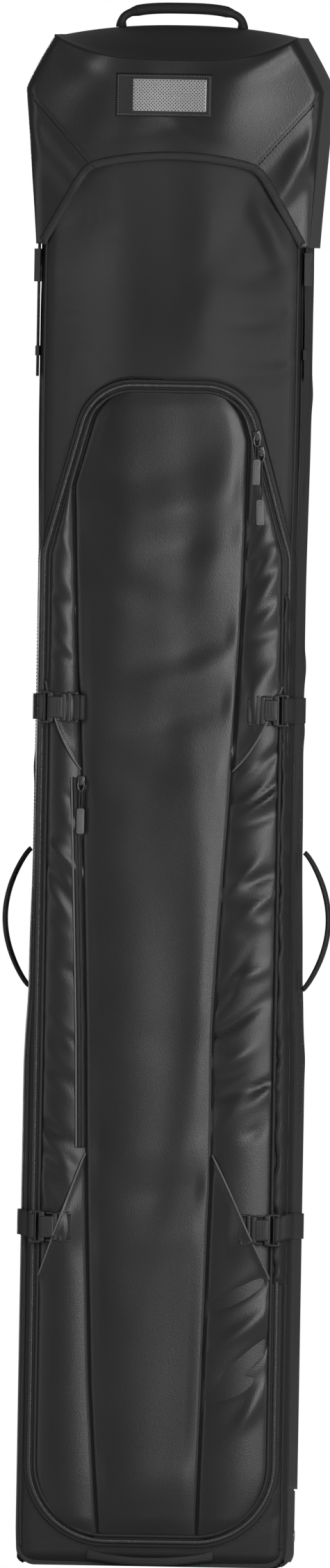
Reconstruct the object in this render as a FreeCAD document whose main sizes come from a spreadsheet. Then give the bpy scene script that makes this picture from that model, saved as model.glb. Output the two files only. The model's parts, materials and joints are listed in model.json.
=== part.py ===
"""Wheeled ski and snowboard bag with a telescoping hood, as a parametric assembly.

Frame: +Z up, -Y is the front (the zipped lid), +X the right side seen from the front.
The origin is the middle of the flat underside. All sizes are in millimetres.
"""

import FreeCAD, Part
import Sketcher
import math
import os

# Driving dimensions: name, value, meaning.
DRIVING = [
    ("bag_half", 161, "half width of the bag body"),
    ("half_depth", 100, "half depth of the bag body"),
    ("wall", 5, "padded wall thickness"),
    ("body_top", 1640, "top edge of the padded walls"),
    ("fabric", 2, "thickness of a sewn-on fabric layer"),
    ("tray_rim", 7, "height of the base tray above the wheel housings"),
    ("tray_wall", 4, "wall of the base tray and wheel housings"),
    ("corner", 20, "outer radius of the bottom corners"),
    ("surround_top", 1460, "seam between the lid surround and the upper front"),
    ("lid_half", 149, "half width of the lid at its zip"),
    ("lid_bottom", 30, "lowest point of the lid's zip"),
    ("lid_top", 1436, "highest point of the lid's zip"),
    ("lid_shoulder", 1230, "height where the lid starts to narrow"),
    ("lid_top_half", 92, "half width of the lid's top edge"),
    ("lid_foot_round", 95, "radius of the lid's bottom corners"),
    ("lid_shoulder_round", 60, "radius where the lid starts to narrow"),
    ("lid_crown_round", 40, "radius of the lid's top corners"),
    ("zip_tape", 7, "width of one zip tape"),
    ("zip_gap", 0.3, "half of the split between the two tapes"),
    ("zip_thick", 3, "thickness of a zip tape with its coil"),
    ("centre_foot_half", 62, "half width of the centre panel at its foot"),
    ("centre_waist_half", 75, "half width of the centre panel at its waist"),
    ("centre_chest_half", 94, "half width of the centre panel at the upper wings"),
    ("centre_neck_half", 100, "half width of the centre panel at the lid shoulder"),
    ("centre_top_half", 84, "half width of the centre panel at its top"),
    ("waist", 500, "height of the centre panel's waist, the lower wings' tips"),
    ("chest", 968, "height of the upper wings' tips"),
    ("seam", 1, "gap along a seam between two fabric layers"),
    ("wing_inset", 10, "distance from the lid's zip to the wings"),
    ("upper_wing_outer", 1074, "lower edge of an upper wing at the side"),
    ("lower_wing_outer", 343, "upper edge of a lower wing at the side"),
    ("pocket_tape", 9, "width of the pocket zip"),
    ("upper_buckle", 1043, "height of the upper compression straps"),
    ("lower_buckle", 411, "height of the lower compression straps"),
    ("buckle_inset", 9, "from the bag's side to a buckle's outer bar"),
    ("webbing_wide", 32, "compression webbing width"),
    ("webbing_thick", 2, "webbing thickness"),
    ("buckle_thick", 7, "side-release buckle thickness"),
    ("socket_long", 30, "buckle socket length"),
    ("plug_long", 18, "buckle plug base length"),
    ("plug_arm", 14, "how far the plug's arms reach into the socket"),
    ("play", 0.4, "clearance between moving pieces"),
    ("hood_gap", 0.6, "clearance between hood and body"),
    ("hood_wall", 4, "hood wall thickness"),
    ("hood_tip", 1606, "lower tips of the hood"),
    ("hood_wide", 182, "half width of the hood at its widest"),
    ("hood_wide_height", 1795, "height of the hood's widest line"),
    ("hood_shoulder", 148, "half width of the hood at its top corners"),
    ("hood_shoulder_height", 1860, "height of the hood's top corners"),
    ("hood_crown", 1876, "top of the hood"),
    ("hood_crown_half", 75, "half width of the hood's flat top"),
    ("arch_foot", 160, "half width of the hood's front arch at its feet"),
    ("arch_corner", 100, "half width of the arch at its crown"),
    ("arch_crown", 1716, "top of the hood's front arch"),
    ("arch_round", 60, "corner radius of the arch"),
    ("binding", 8, "width of the binding tape on the arch"),
    ("collar_top", 1815, "top of the inner collar"),
    ("label_x", -12, "middle of the address label, across"),
    ("label_height", 1789, "middle of the address label, up"),
    ("label_wide", 118, "address label width"),
    ("label_tall", 53, "address label height"),
    ("label_strip", 14, "bare strip at the label's left end"),
    ("label_border", 6, "border round the label's window"),
    ("strap_wide", 29, "hood strap width"),
    ("strap_thick", 1.6, "hood strap thickness"),
    ("strap_y", -80, "middle of the hood straps along the bag's depth"),
    ("strap_end", 1445, "loose lower end of the hood straps"),
    ("lock_low", 1560, "lower end of the ladder locks"),
    ("lock_high", 1600, "upper end of the ladder locks"),
    ("keeper_low", 1470, "lower edge of the strap keepers"),
    ("keeper_tall", 12, "height of the strap keepers"),
    ("wheel_radius", 38, "wheel radius"),
    ("wheel_lift", 2, "how far the wheels stand above the ground"),
    ("wheel_wide", 40, "tyre width"),
    ("rim_radius", 24, "radius of the hub under the tyre"),
    ("axle_radius", 4, "wheel axle radius"),
    ("axle_play", 0.05, "radial clearance of the wheel on its axle"),
    ("housing_wide", 56, "outer width of a wheel housing"),
    ("wheel_set_back", 32, "from the wheels' axis to the bag's back"),
    ("wheel_clear", 4, "clearance between a wheel and the front of its housing"),
    ("wheel_headroom", 6, "clearance above a wheel"),
    ("top_handle_half", 73, "half distance between the top handle's feet"),
    ("top_handle_tube", 5.2, "radius of the top handle's rolled tube"),
    ("top_handle_rise", 15, "from the top handle's pivot to its grip"),
    ("grip_radius", 6.2, "radius of the sleeve on the top handle"),
    ("grip_half", 50, "half length of the sleeve on the top handle"),
    ("side_handle_low", 703, "lower end of the side handles"),
    ("side_handle_high", 872, "upper end of the side handles"),
    ("side_handle_out", 39, "how far the side handles stand out"),
    ("side_handle_thick", 6, "thickness of the side handles"),
    ("side_handle_wide", 24, "width of the side handles"),
    ("side_handle_end", 3, "radius of the side handles' rolled ends"),
    ("side_handle_flare", 25, "length over which a side handle widens"),
    ("base_handle_half", 77, "half length of the bottom handle"),
    ("base_handle_low", 1.5, "lower edge of the bottom handle"),
    ("base_handle_high", 16, "upper edge of the bottom handle"),
    ("base_handle_thick", 3, "thickness of the bottom handle"),
    ("slider_wide", 9, "zip slider width"),
    ("slider_long", 13, "zip slider length"),
    ("slider_thick", 3.6, "zip slider thickness"),
    ("slider_high", 1377, "height of the upper main slider"),
    ("slider_low", 1358, "height of the lower main slider"),
    ("pull_thick", 2.6, "thickness of a slider's pull"),
    ("pull_wide", 8, "width of a slider's pull tab"),
    ("pull_tab", 31, "length of a pull tab"),
    ("pull_cord", 1.1, "radius of a pull's cord"),
    ("short_pull", 60, "length of the upper main pull"),
    ("long_pull", 90, "length of the lower main pull"),
    ("pocket_pull", 65, "length of the pocket zip's pull"),
]

doc = FreeCAD.newDocument("ski_bag")
sheet = doc.addObject("Spreadsheet::Sheet", "sizes")


class Size:
    """A length with its value and the expression that ties it to the sheet."""

    def __init__(self, value, text=None):
        self.value = float(value)
        self.text = text or repr(float(value))

    def __add__(self, other):
        other = as_size(other)
        return Size(self.value + other.value, f"({self.text} + {other.text})")

    def __sub__(self, other):
        other = as_size(other)
        return Size(self.value - other.value, f"({self.text} - {other.text})")

    def __mul__(self, other):
        other = as_size(other)
        return Size(self.value * other.value, f"({self.text} * {other.text})")

    def __truediv__(self, other):
        other = as_size(other)
        return Size(self.value / other.value, f"({self.text} / {other.text})")

    def __neg__(self):
        return Size(-self.value, f"(-1 * {self.text})")

    def __radd__(self, other):
        return as_size(other) + self

    def __rsub__(self, other):
        return as_size(other) - self

    def __rmul__(self, other):
        return as_size(other) * self


def as_size(number):
    return number if isinstance(number, Size) else Size(number)


class Sizes:
    """The driving dimensions by name, written to the sheet as plain numbers."""

    def __init__(self, rows):
        for row, (name, value, meaning) in enumerate(rows, start=1):
            sheet.set(f"A{row}", meaning)
            sheet.set(f"B{row}", str(value))
            sheet.setAlias(f"B{row}", name)
            setattr(self, name, Size(value, f"sizes.{name}"))


d = Sizes(DRIVING)
doc.recompute()

PLANE_ROLE = {"XY": "XY_Plane", "XZ": "XZ_Plane", "YZ": "YZ_Plane"}
nodes = []


def bind(thing, **properties):
    """Ties each property to its size; a double underscore stands for a dot."""
    for name, size in properties.items():
        thing.setExpression(name.replace("__", "."), as_size(size).text)
    return thing


def node(thing, name):
    """Marks a finished sub-part: its label names its file."""
    thing.Label = name
    nodes.append(thing)
    return thing


def block(name, x, y, z):
    """A box between a low and a high value on each axis."""
    box = doc.addObject("Part::Box", name)
    bind(box, Length=x[1] - x[0], Width=y[1] - y[0], Height=z[1] - z[0])
    return bind(box, Placement__Base__x=x[0], Placement__Base__y=y[0], Placement__Base__z=z[0])


def rod(name, axis, centre, radius, span):
    """A cylinder along X, Y or Z between the two ends of span; centre gives the other two."""
    cylinder = doc.addObject("Part::Cylinder", name)
    turn = {"X": (FreeCAD.Vector(0, 1, 0), 90), "Y": (FreeCAD.Vector(1, 0, 0), -90),
            "Z": (FreeCAD.Vector(0, 0, 1), 0)}[axis]
    cylinder.Placement.Rotation = FreeCAD.Rotation(*turn)
    u, v = centre
    base = {"X": (span[0], u, v), "Y": (u, span[0], v), "Z": (u, v, span[0])}[axis]
    bind(cylinder, Radius=radius, Height=span[1] - span[0])
    return bind(cylinder, Placement__Base__x=base[0], Placement__Base__y=base[1], Placement__Base__z=base[2])


def ball(name, x, y, z, radius):
    sphere = doc.addObject("Part::Sphere", name)
    return bind(sphere, Radius=radius, Placement__Base__x=x, Placement__Base__y=y, Placement__Base__z=z)


def dimension(sketch, kind, *places, size):
    """Adds a constraint of the given kind and ties it to size."""
    size = as_size(size)
    index = sketch.addConstraint(Sketcher.Constraint(kind, *places, size.value))
    sketch.setExpression(f"Constraints[{index}]", size.text)


def place_point(sketch, geometry, end, u, v):
    dimension(sketch, "DistanceX", -1, 1, geometry, end, size=u)
    dimension(sketch, "DistanceY", -1, 1, geometry, end, size=v)


def corner_arc(before, point, after, radius):
    """Where an arc of radius touches the two runs that meet at point, the arc, and its direction."""
    towards_before = (before - point).normalize()
    towards_after = (after - point).normalize()
    half_angle = towards_before.getAngle(towards_after) / 2
    reach = radius / math.tan(half_angle)
    start, end = point + towards_before * reach, point + towards_after * reach
    centre = point + (towards_before + towards_after).normalize() * (radius / math.sin(half_angle))
    leftwards = towards_after.cross(towards_before).z > 0
    ends = (start, end) if leftwards else (end, start)
    angles = [math.atan2(place.y - centre.y, place.x - centre.x) for place in ends]
    circle = Part.Circle(centre, FreeCAD.Vector(0, 0, 1), radius)
    return start, Part.ArcOfCircle(circle, *angles), end, leftwards


def closed_outline(sketch, corners):
    """A closed outline through corners (u, v, radius); a radius of 0 is a sharp corner."""
    corners = [(as_size(u), as_size(v), as_size(radius)) for u, v, radius in corners]
    points = [FreeCAD.Vector(u.value, v.value, 0) for u, v, _ in corners]
    count = len(points)
    bends = []
    for i, (_, _, radius) in enumerate(corners):
        if radius.value > 0:
            bends.append(corner_arc(points[i - 1], points[i], points[(i + 1) % count], radius.value))
        else:
            bends.append((points[i], None, points[i], True))
    runs = [
        sketch.addGeometry(Part.LineSegment(bends[i][2], bends[(i + 1) % count][0]))
        for i in range(count)
    ]
    for i, (u, v, radius) in enumerate(corners):
        before, after = runs[i - 1], runs[i]
        _, bend, _, leftwards = bends[i]
        if bend is None:
            sketch.addConstraint(Sketcher.Constraint("Coincident", before, 2, after, 1))
            place_point(sketch, after, 1, u, v)
            continue
        arc = sketch.addGeometry(bend)
        first, last = (1, 2) if leftwards else (2, 1)
        sketch.addConstraint(Sketcher.Constraint("Tangent", before, 2, arc, first))
        sketch.addConstraint(Sketcher.Constraint("Tangent", arc, last, after, 1))
        dimension(sketch, "Radius", arc, size=radius)
        point = sketch.addGeometry(Part.Point(points[i]), True)
        sketch.addConstraint(Sketcher.Constraint("PointOnObject", point, 1, before))
        sketch.addConstraint(Sketcher.Constraint("PointOnObject", point, 1, after))
        place_point(sketch, point, 1, u, v)


def plate(name, plane, outlines, span, centre=None, turn=None):
    """A flat piece: closed outlines on a plane, padded from span's low to its high value.

    On XZ the pad grows towards -Y, so the body stands at the span's high end. A centred
    plate is drawn about the origin, then moved to centre and turned about its own normal.
    """
    body = doc.addObject("PartDesign::Body", name)
    sketch = body.newObject("Sketcher::SketchObject", f"{name}_outline")
    role = PLANE_ROLE[plane]
    support = next(feature for feature in body.Origin.OriginFeatures if feature.Role == role)
    sketch.AttachmentSupport = [(support, "")]
    sketch.MapMode = "FlatFace"
    for outline in outlines:
        closed_outline(sketch, outline)
    pad = body.newObject("PartDesign::Pad", f"{name}_pad")
    pad.Profile = sketch
    bind(pad, Length=span[1] - span[0])
    if plane == "XZ":
        bind(body, Placement__Base__y=span[1])
    elif plane == "YZ":
        bind(body, Placement__Base__x=span[0])
    else:
        bind(body, Placement__Base__z=span[0])
    if centre:
        body.Placement.Rotation = FreeCAD.Rotation(FreeCAD.Vector(0, 1, 0), turn.value)
        bind(body, Placement__Base__x=centre[0], Placement__Base__z=centre[1])
        bind(body, Placement__Rotation__Angle=turn)
    return body


def joined(name, *pieces):
    fuse = doc.addObject("Part::MultiFuse", name)
    fuse.Shapes = list(pieces)
    fuse.Refine = True
    return fuse


def shared(name, *pieces):
    common = doc.addObject("Part::MultiCommon", name)
    common.Shapes = list(pieces)
    return common


def cut(name, base, *tools):
    result = doc.addObject("Part::Cut", name)
    result.Base = base
    result.Tool = tools[0] if len(tools) == 1 else joined(f"{name}_tools", *tools)
    return result


def group(name, *pieces):
    """Separate solids of one kind that share a node."""
    compound = doc.addObject("Part::Compound", name)
    compound.Links = list(pieces)
    return compound


def mirrored(name, piece):
    """The same piece on the other side of the bag's middle plane."""
    mirror = doc.addObject("Part::Mirroring", name)
    mirror.Source = piece
    mirror.Normal = FreeCAD.Vector(1, 0, 0)
    return mirror


def both_sides(name, piece):
    return group(name, piece, mirrored(f"{name}_other_side", piece))


def symmetric(right_half):
    """An outline's right half, bottom to top, closed by its mirror image."""
    return list(right_half) + [(-u, v, radius) for u, v, radius in reversed(right_half)]


def rectangle(x, z, radius=0):
    return [(x[0], z[0], radius), (x[1], z[0], radius), (x[1], z[1], radius), (x[0], z[1], radius)]


# Depth layers of the front, from the inside out.
front_inner = -d.half_depth
front = front_inner - d.wall
layer_front = front - d.fabric
buckle_back = layer_front - d.play
buckle_front = buckle_back - d.buckle_thick
slider_back = front - d.zip_gap
slider_front = slider_back - d.slider_thick
pull_back = slider_front - d.play
pull_front = pull_back - d.pull_thick
outside = d.bag_half


# ---- the lid's outline -------------------------------------------------------------
# The lid is a tall panel with large bottom corners that narrows above its shoulder.
narrowing = math.atan2(d.lid_half.value - d.lid_top_half.value, d.lid_top.value - d.lid_shoulder.value)
slope = (d.lid_half - d.lid_top_half) / (d.lid_top - d.lid_shoulder)
slope_angle = Size(math.degrees(narrowing), f"atan({slope.text})")
shoulder_shift = Size(math.tan(narrowing / 2), f"tan(atan({slope.text}) / 2)")
crown_shift = Size(math.tan(math.pi / 4 - narrowing / 2), f"tan(45 deg - atan({slope.text}) / 2)")


def lid_outline(inset):
    """The zip line, moved inwards by inset on every side."""
    inset = as_size(inset)
    return symmetric([
        (d.lid_half - inset, d.lid_bottom + inset, d.lid_foot_round - inset),
        (d.lid_half - inset, d.lid_shoulder - shoulder_shift * inset, d.lid_shoulder_round - inset),
        (d.lid_top_half - crown_shift * inset, d.lid_top - inset, d.lid_crown_round - inset),
    ])


def lid_edge_at(height, inset):
    """Half width of the inset lid outline at a height above its shoulder."""
    return d.lid_half - slope * (height - d.lid_shoulder) - inset


# ---- base, walls and surround ------------------------------------------------------
housing_deep = d.wheel_set_back + d.wheel_radius + d.wheel_clear + d.tray_wall
housing_tall = d.wheel_lift + d.wheel_radius * 2 + d.wheel_headroom + d.tray_wall
tray_height = housing_tall + d.tray_rim


def base_tray():
    outer = plate("tray_outer", "XZ", [[
        (-outside, 0, d.corner), (outside, 0, d.corner),
        (outside, tray_height, 0), (-outside, tray_height, 0)]],
        (-d.half_depth, d.half_depth))
    inner_half = outside - d.tray_wall
    cavity = block("tray_cavity", (-inner_half, inner_half),
                   (d.tray_wall - d.half_depth, d.half_depth - d.tray_wall),
                   (d.tray_wall, tray_height + 1))
    notch = block("tray_notch", (outside - d.housing_wide, outside + 1),
                  (d.half_depth - housing_deep, d.half_depth + 1), (Size(-1), housing_tall))
    notches = [notch, mirrored("tray_notch_left", notch)]
    node(cut("tray_shell", outer, cavity, *notches, *screw_holes("tray")), "base_tray")


board_half = d.bag_half - d.housing_wide - d.tray_wall
board_top = d.tray_wall * 2
SCREW_PLACES = [(x, y) for x in (-1, 1) for y in (-1, 1)]


def screw_place(side, end):
    return (board_half - 20) * side, (d.half_depth - 30) * end


def screw_holes(name):
    return [
        rod(f"{name}_hole_{i}", "Z", screw_place(*place), Size(2), (Size(1), board_top + 1))
        for i, place in enumerate(SCREW_PLACES)
    ]


def base_board_and_screws():
    board = block("board_blank", (-board_half, board_half),
                  (d.tray_wall - d.half_depth, d.half_depth - d.tray_wall), (d.tray_wall, board_top))
    node(cut("board", board, *screw_holes("board")), "base_board")
    screws = []
    for i, place in enumerate(SCREW_PLACES):
        x, y = screw_place(*place)
        shank = rod(f"screw_shank_{i}", "Z", (x, y), Size(2), (Size(1), board_top))
        head = rod(f"screw_head_{i}", "Z", (x, y), Size(4.5), (board_top, board_top + 2))
        screws.append(joined(f"screw_{i}", shank, head))
    node(group("screws", *screws), "base_screws")


def wheel_axis():
    return d.half_depth - d.wheel_set_back, d.wheel_radius + d.wheel_lift


def wheel_bay():
    """Inner and outer limits of the space for a wheel on the right side."""
    return outside - d.housing_wide + d.tray_wall, outside - d.tray_wall


def wheel_housings():
    low, high = outside - d.housing_wide, outside
    back = d.half_depth
    shell = plate("housing_outer", "XZ", [[
        (low, 0, 0), (high, 0, d.corner), (high, housing_tall, 0), (low, housing_tall, 0)]],
        (back - housing_deep, back))
    space = block("housing_space", wheel_bay(), (back - housing_deep + d.tray_wall, back + 1),
                  (Size(-1), housing_tall - d.tray_wall))
    axle_hole = rod("housing_axle_hole", "X", wheel_axis(), d.axle_radius, (low - 1, high + 1))
    node(both_sides("housings", cut("housing", shell, space, axle_hole)), "wheel_housings")


def wheel_axles():
    inner = outside - d.housing_wide
    shank = rod("axle_shank", "X", wheel_axis(), d.axle_radius, (inner - 4, outside))
    head = rod("axle_head", "X", wheel_axis(), d.axle_radius * 1.75, (outside, outside + 2.5))
    nut = rod("axle_nut", "X", wheel_axis(), d.axle_radius * 1.6, (inner - 4, inner))
    node(both_sides("axles", joined("axle", shank, head, nut)), "wheel_axles")


def wheels():
    low, high = wheel_bay()
    middle = (low + high) / 2
    half = d.wheel_wide / 2
    axis = wheel_axis()
    rim = rod("rim", "X", axis, d.rim_radius, (middle - half, middle + half))
    boss = rod("boss", "X", axis, d.axle_radius * 2, (low + d.play, high - d.play))
    bore = rod("hub_bore", "X", axis, d.axle_radius + d.axle_play, (low - 1, high + 1))
    dish = [
        rod(f"rim_dish_{i}", "X", axis, d.rim_radius - 4, span)
        for i, span in enumerate([(middle - half - 1, middle - half + 10), (middle + half - 10, middle + half + 1)])
    ]
    hub = cut("hub", joined("hub_solid", cut("dished_rim", rim, *dish), boss), bore)
    tread = rod("tread", "X", axis, d.wheel_radius, (middle - half, middle + half))
    seat = rod("tyre_seat", "X", axis, d.rim_radius, (middle - half - 1, middle + half + 1))
    shoulders = doc.addObject("Part::Chamfer", "tyre_shoulders")
    shoulders.Base = tread
    doc.recompute()
    rims = [i for i, edge in enumerate(tread.Shape.Edges, start=1) if isinstance(edge.Curve, Part.Circle)]
    shoulders.Edges = [(i, 4.0, 4.0) for i in rims]
    tyre = cut("tyre", shoulders, seat)
    node(hub, "hub_right")
    node(tyre, "tyre_right")
    node(mirrored("hub_other", hub), "hub_left")
    node(mirrored("tyre_other", tyre), "tyre_left")


def walls():
    inside = outside - d.wall
    heights = (tray_height, d.body_top)
    gusset = block("gusset", (inside, outside), (front_inner, d.half_depth - d.wall), heights)
    node(gusset, "side_gusset_right")
    node(mirrored("gusset_left", gusset), "side_gusset_left")
    node(block("back", (-outside, outside), (d.half_depth - d.wall, d.half_depth), heights), "back_panel")
    stiffener_half = inside - 15
    node(block("stiffener", (-stiffener_half, stiffener_half),
               (d.half_depth - d.wall - 2, d.half_depth - d.wall),
               (tray_height + 5, d.body_top - 60)), "back_stiffener")
    node(block("front_upper", (-outside, outside), (front, front_inner), (d.surround_top, d.body_top)),
         "front_upper_panel")
    surround = plate("surround", "XZ", [
        [(-outside, 0, d.corner), (outside, 0, d.corner), (outside, d.surround_top, 0),
         (-outside, d.surround_top, 0)],
        lid_outline(d.zip_tape * -1)], (front, front_inner))
    node(surround, "lid_surround")


def inner_collar():
    """A thin sleeve that continues the body upwards inside the hood."""
    half, depth = outside - 3, d.half_depth - 2
    sleeve = plate("collar_sleeve", "XY", [
        [(-half, -depth, 15), (half, -depth, 15), (half, depth, 15), (-half, depth, 15)],
        [(-half + 2, -depth + 2, 13), (half - 2, -depth + 2, 13),
         (half - 2, depth - 2, 13), (-half + 2, depth - 2, 13)]],
        (d.body_top, d.collar_top))
    node(sleeve, "inner_collar")


def inner_straps():
    back = d.half_depth - d.wall - 2
    half = d.bag_half - 45
    straps, buckles = [], []
    for name, height in (("low", d.waist), ("high", d.chest + 150)):
        reach = (height - 19, height + 19)
        straps.append(block(f"ski_strap_{name}", (-half, half), (back - 2, back), reach))
        buckles.append(block(f"ski_buckle_{name}", (Size(-28), Size(28)), (back - 10, back - 2),
                             (height - 22, height + 22)))
    node(group("ski_straps", *straps), "inner_straps")
    node(group("ski_buckles", *buckles), "inner_strap_buckles")


# ---- the lid -----------------------------------------------------------------------
def lid():
    node(plate("lid_pad", "XZ", [lid_outline(d.zip_tape)], (front, front_inner)), "lid_panel")
    zip_layer = (front, front + d.zip_thick)
    node(plate("zip_lid", "XZ", [lid_outline(d.zip_gap), lid_outline(d.zip_tape)], zip_layer),
         "main_zip_lid_side")
    node(plate("zip_body", "XZ", [lid_outline(d.zip_tape * -1), lid_outline(d.zip_gap * -1)], zip_layer),
         "main_zip_body_side")


foot = d.lid_bottom + d.zip_tape + 1
crown = d.lid_top - 18
centre_edge = [
    (d.centre_foot_half, foot),
    (d.centre_waist_half, d.waist),
    (d.centre_chest_half, d.chest),
    (d.centre_neck_half, d.lid_shoulder),
    (d.centre_top_half, crown),
]


def lid_layers():
    layer = (layer_front, front)
    node(plate("centre", "XZ", [symmetric([(u, v, 0) for u, v in centre_edge])], layer), "centre_panel")
    side = d.lid_half - d.wing_inset
    high_end = crown - 20
    upper = plate("upper_wing", "XZ", [[
        (d.centre_chest_half + d.seam, d.chest, 0),
        (side, d.upper_wing_outer, 0),
        (side, d.lid_shoulder - 4, 0),
        (lid_edge_at(high_end, d.wing_inset) - 1, high_end, 0),
        (d.centre_neck_half + d.seam, d.lid_shoulder + 2, 0)]], layer)
    node(both_sides("upper_wings", upper), "wings_upper")
    corner_round = side - d.centre_foot_half - d.seam * 2
    low = foot + 6
    lower = plate("lower_wing", "XZ", [[
        (d.centre_foot_half + d.seam, low, 0),
        (side, low, corner_round),
        (side, d.lower_wing_outer, 0),
        (d.centre_waist_half + d.seam, d.waist, 0)]], layer)
    node(both_sides("lower_wings", lower), "wings_lower")


def pocket_edge(height, beyond):
    """Left edge of the centre panel between waist and chest, moved outwards."""
    share = (height - d.waist) / (d.chest - d.waist)
    return -(d.centre_waist_half + (d.centre_chest_half - d.centre_waist_half) * share + beyond)


pocket_low = d.waist + 8
pocket_high = d.chest - 10
pocket_turn = Size(
    -math.degrees(math.atan2(d.centre_chest_half.value - d.centre_waist_half.value, d.chest.value - d.waist.value)),
    f"(-1 * atan(({d.centre_chest_half.text} - {d.centre_waist_half.text}) / ({d.chest.text} - {d.waist.text})))")


def pocket_zip():
    near, far = d.seam, d.seam + d.pocket_tape
    tape = plate("pocket_tape", "XZ", [[
        (pocket_edge(pocket_low, far), pocket_low, 0), (pocket_edge(pocket_low, near), pocket_low, 0),
        (pocket_edge(pocket_high, near), pocket_high, 0), (pocket_edge(pocket_high, far), pocket_high, 0)]],
        (layer_front, front))
    node(tape, "pocket_zip_tape")


def placket():
    """The flap sewn along the zip's right side, between the compression straps."""
    gap = d.webbing_wide
    node(block("flap", (d.lid_half + 2, outside), (layer_front, front),
               (d.lower_buckle + gap, d.upper_buckle - gap)), "zip_placket")


# ---- zip sliders and their pulls ---------------------------------------------------
def slider(name, centre, back, turn):
    half_w, half_l = d.slider_wide / 2, d.slider_long / 2
    base = plate(f"{name}_base", "XZ", [rectangle((-half_w, half_w), (-half_l, half_l), 2)],
                 (back - d.slider_thick, back), centre, turn)
    return node(base, name)


def pull(name, centre, hang, length):
    """A barrel on the slider's bridge, a cord below it and a moulded tab at the end."""
    x, z = centre
    layer = (hang - d.pull_thick, hang)
    middle = hang - d.pull_thick / 2
    half = d.pull_wide / 2
    bottom = z - length
    eye = rod(f"{name}_eye", "X", (middle, z), d.pull_thick / 2, (x - half + 1, x + half - 1))
    tab = plate(f"{name}_tab", "XZ", [rectangle((x - half, x + half), (bottom, bottom + d.pull_tab), 2)], layer)
    cord = rod(f"{name}_cord", "Z", (x, middle), d.pull_cord, (bottom + d.pull_tab - 2, z))
    return node(joined(f"{name}_joined", eye, tab, cord), name)


def zip_sliders():
    main_turn = -slope_angle
    high = (lid_edge_at(d.slider_high, 0), d.slider_high)
    low = (lid_edge_at(d.slider_low, 0), d.slider_low)
    slider("main_slider_upper", high, slider_back, main_turn)
    slider("main_slider_lower", low, slider_back, main_turn)
    pull("main_pull_upper", (high[0] - 2.5, high[1] + 1), pull_back, d.short_pull)
    pull("main_pull_lower", (low[0] + 2, low[1] + 1), pull_back, d.long_pull)
    pocket_back = layer_front - d.zip_gap
    pocket = (pocket_edge(pocket_high - 4, d.seam + d.pocket_tape / 2), pocket_high - 4)
    slider("pocket_slider", pocket, pocket_back, pocket_turn)
    pull("pocket_pull", pocket, pocket_back - d.slider_thick - d.play, d.pocket_pull)


# ---- compression straps ------------------------------------------------------------
socket_out = outside - d.buckle_inset
socket_in = socket_out - d.socket_long
buckle_layer = (buckle_front, buckle_back)


def buckle_socket(name, height):
    """A frame with a mouth for the plug's arms, finger notches and a bar for the webbing."""
    half = d.webbing_wide / 2 + 4
    body = plate(f"{name}_body", "XZ", [rectangle((socket_in, socket_out), (height - half, height + half), 3)],
                 buckle_layer)
    mouth = block(f"{name}_mouth", (socket_in - 1, socket_in + d.plug_arm + 1),
                  (buckle_front - 1, buckle_back + 1), (height - 13, height + 13))
    slot = block(f"{name}_slot", (socket_out - 8, socket_out - 4), (buckle_front - 1, buckle_back + 1),
                 (height - d.webbing_wide / 2, height + d.webbing_wide / 2))
    notches = [
        rod(f"{name}_notch_{i}", "Y", (socket_in + 9, height + (half + 1) * side), Size(5.5),
            (buckle_front - 1, buckle_back + 1))
        for i, side in enumerate((-1, 1))
    ]
    return cut(f"{name}_cut", body, mouth, slot, *notches)


def buckle_plug(name, height):
    """A webbing bar with two springy arms and a guide between them."""
    half = d.webbing_wide / 2 + 3
    end = socket_in - d.play
    body = plate(f"{name}_body", "XZ", [rectangle((end - d.plug_long, end), (height - half, height + half), 3)],
                 buckle_layer)
    slot = block(f"{name}_slot", (end - d.plug_long + 4, end - d.plug_long + 8),
                 (buckle_front - 1, buckle_back + 1), (height - d.webbing_wide / 2, height + d.webbing_wide / 2))
    arms = []
    for i, side in enumerate((-1, 0, 1)):
        middle = height + 9.6 * side
        arm_half = 2.8 if side else 2.0
        arms.append(block(f"{name}_arm_{i}", (end - 2, end + d.plug_arm), buckle_layer,
                          (middle - arm_half, middle + arm_half)))
    return cut(f"{name}_cut", joined(f"{name}_solid", body, *arms), slot)


def compression_webbing(name, height):
    """Webbing from the buckle's bar round the bag's front edge and along its side."""
    reach = (height - d.webbing_wide / 2, height + d.webbing_wide / 2)
    side = outside + d.play
    face = layer_front - d.play
    across = block(f"{name}_across", (socket_out, side + d.webbing_thick), (face - d.webbing_thick, face), reach)
    along = block(f"{name}_along", (side, side + d.webbing_thick), (face - d.webbing_thick, Size(60)), reach)
    return joined(f"{name}_joined", across, along)


def compression_straps():
    plugs = []
    for level, height in (("upper", d.upper_buckle), ("lower", d.lower_buckle)):
        socket = buckle_socket(f"socket_{level}", height)
        node(socket, f"buckle_socket_{level}_right")
        node(mirrored(f"socket_{level}_left", socket), f"buckle_socket_{level}_left")
        strap = compression_webbing(f"strap_{level}", height)
        node(strap, f"compression_strap_{level}_right")
        node(mirrored(f"strap_{level}_left", strap), f"compression_strap_{level}_left")
        plug = buckle_plug(f"plug_{level}", height)
        plugs += [plug, mirrored(f"plug_{level}_left", plug)]
    node(group("plugs", *plugs), "buckle_plugs")


# ---- the telescoping hood ----------------------------------------------------------
hood_inner = outside + d.hood_gap
hood_outer = hood_inner + d.hood_wall
hood_front_inner = front - d.hood_gap
hood_front = hood_front_inner - d.hood_wall
hood_back_inner = d.half_depth + d.hood_gap
hood_back = hood_back_inner + d.hood_wall


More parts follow.
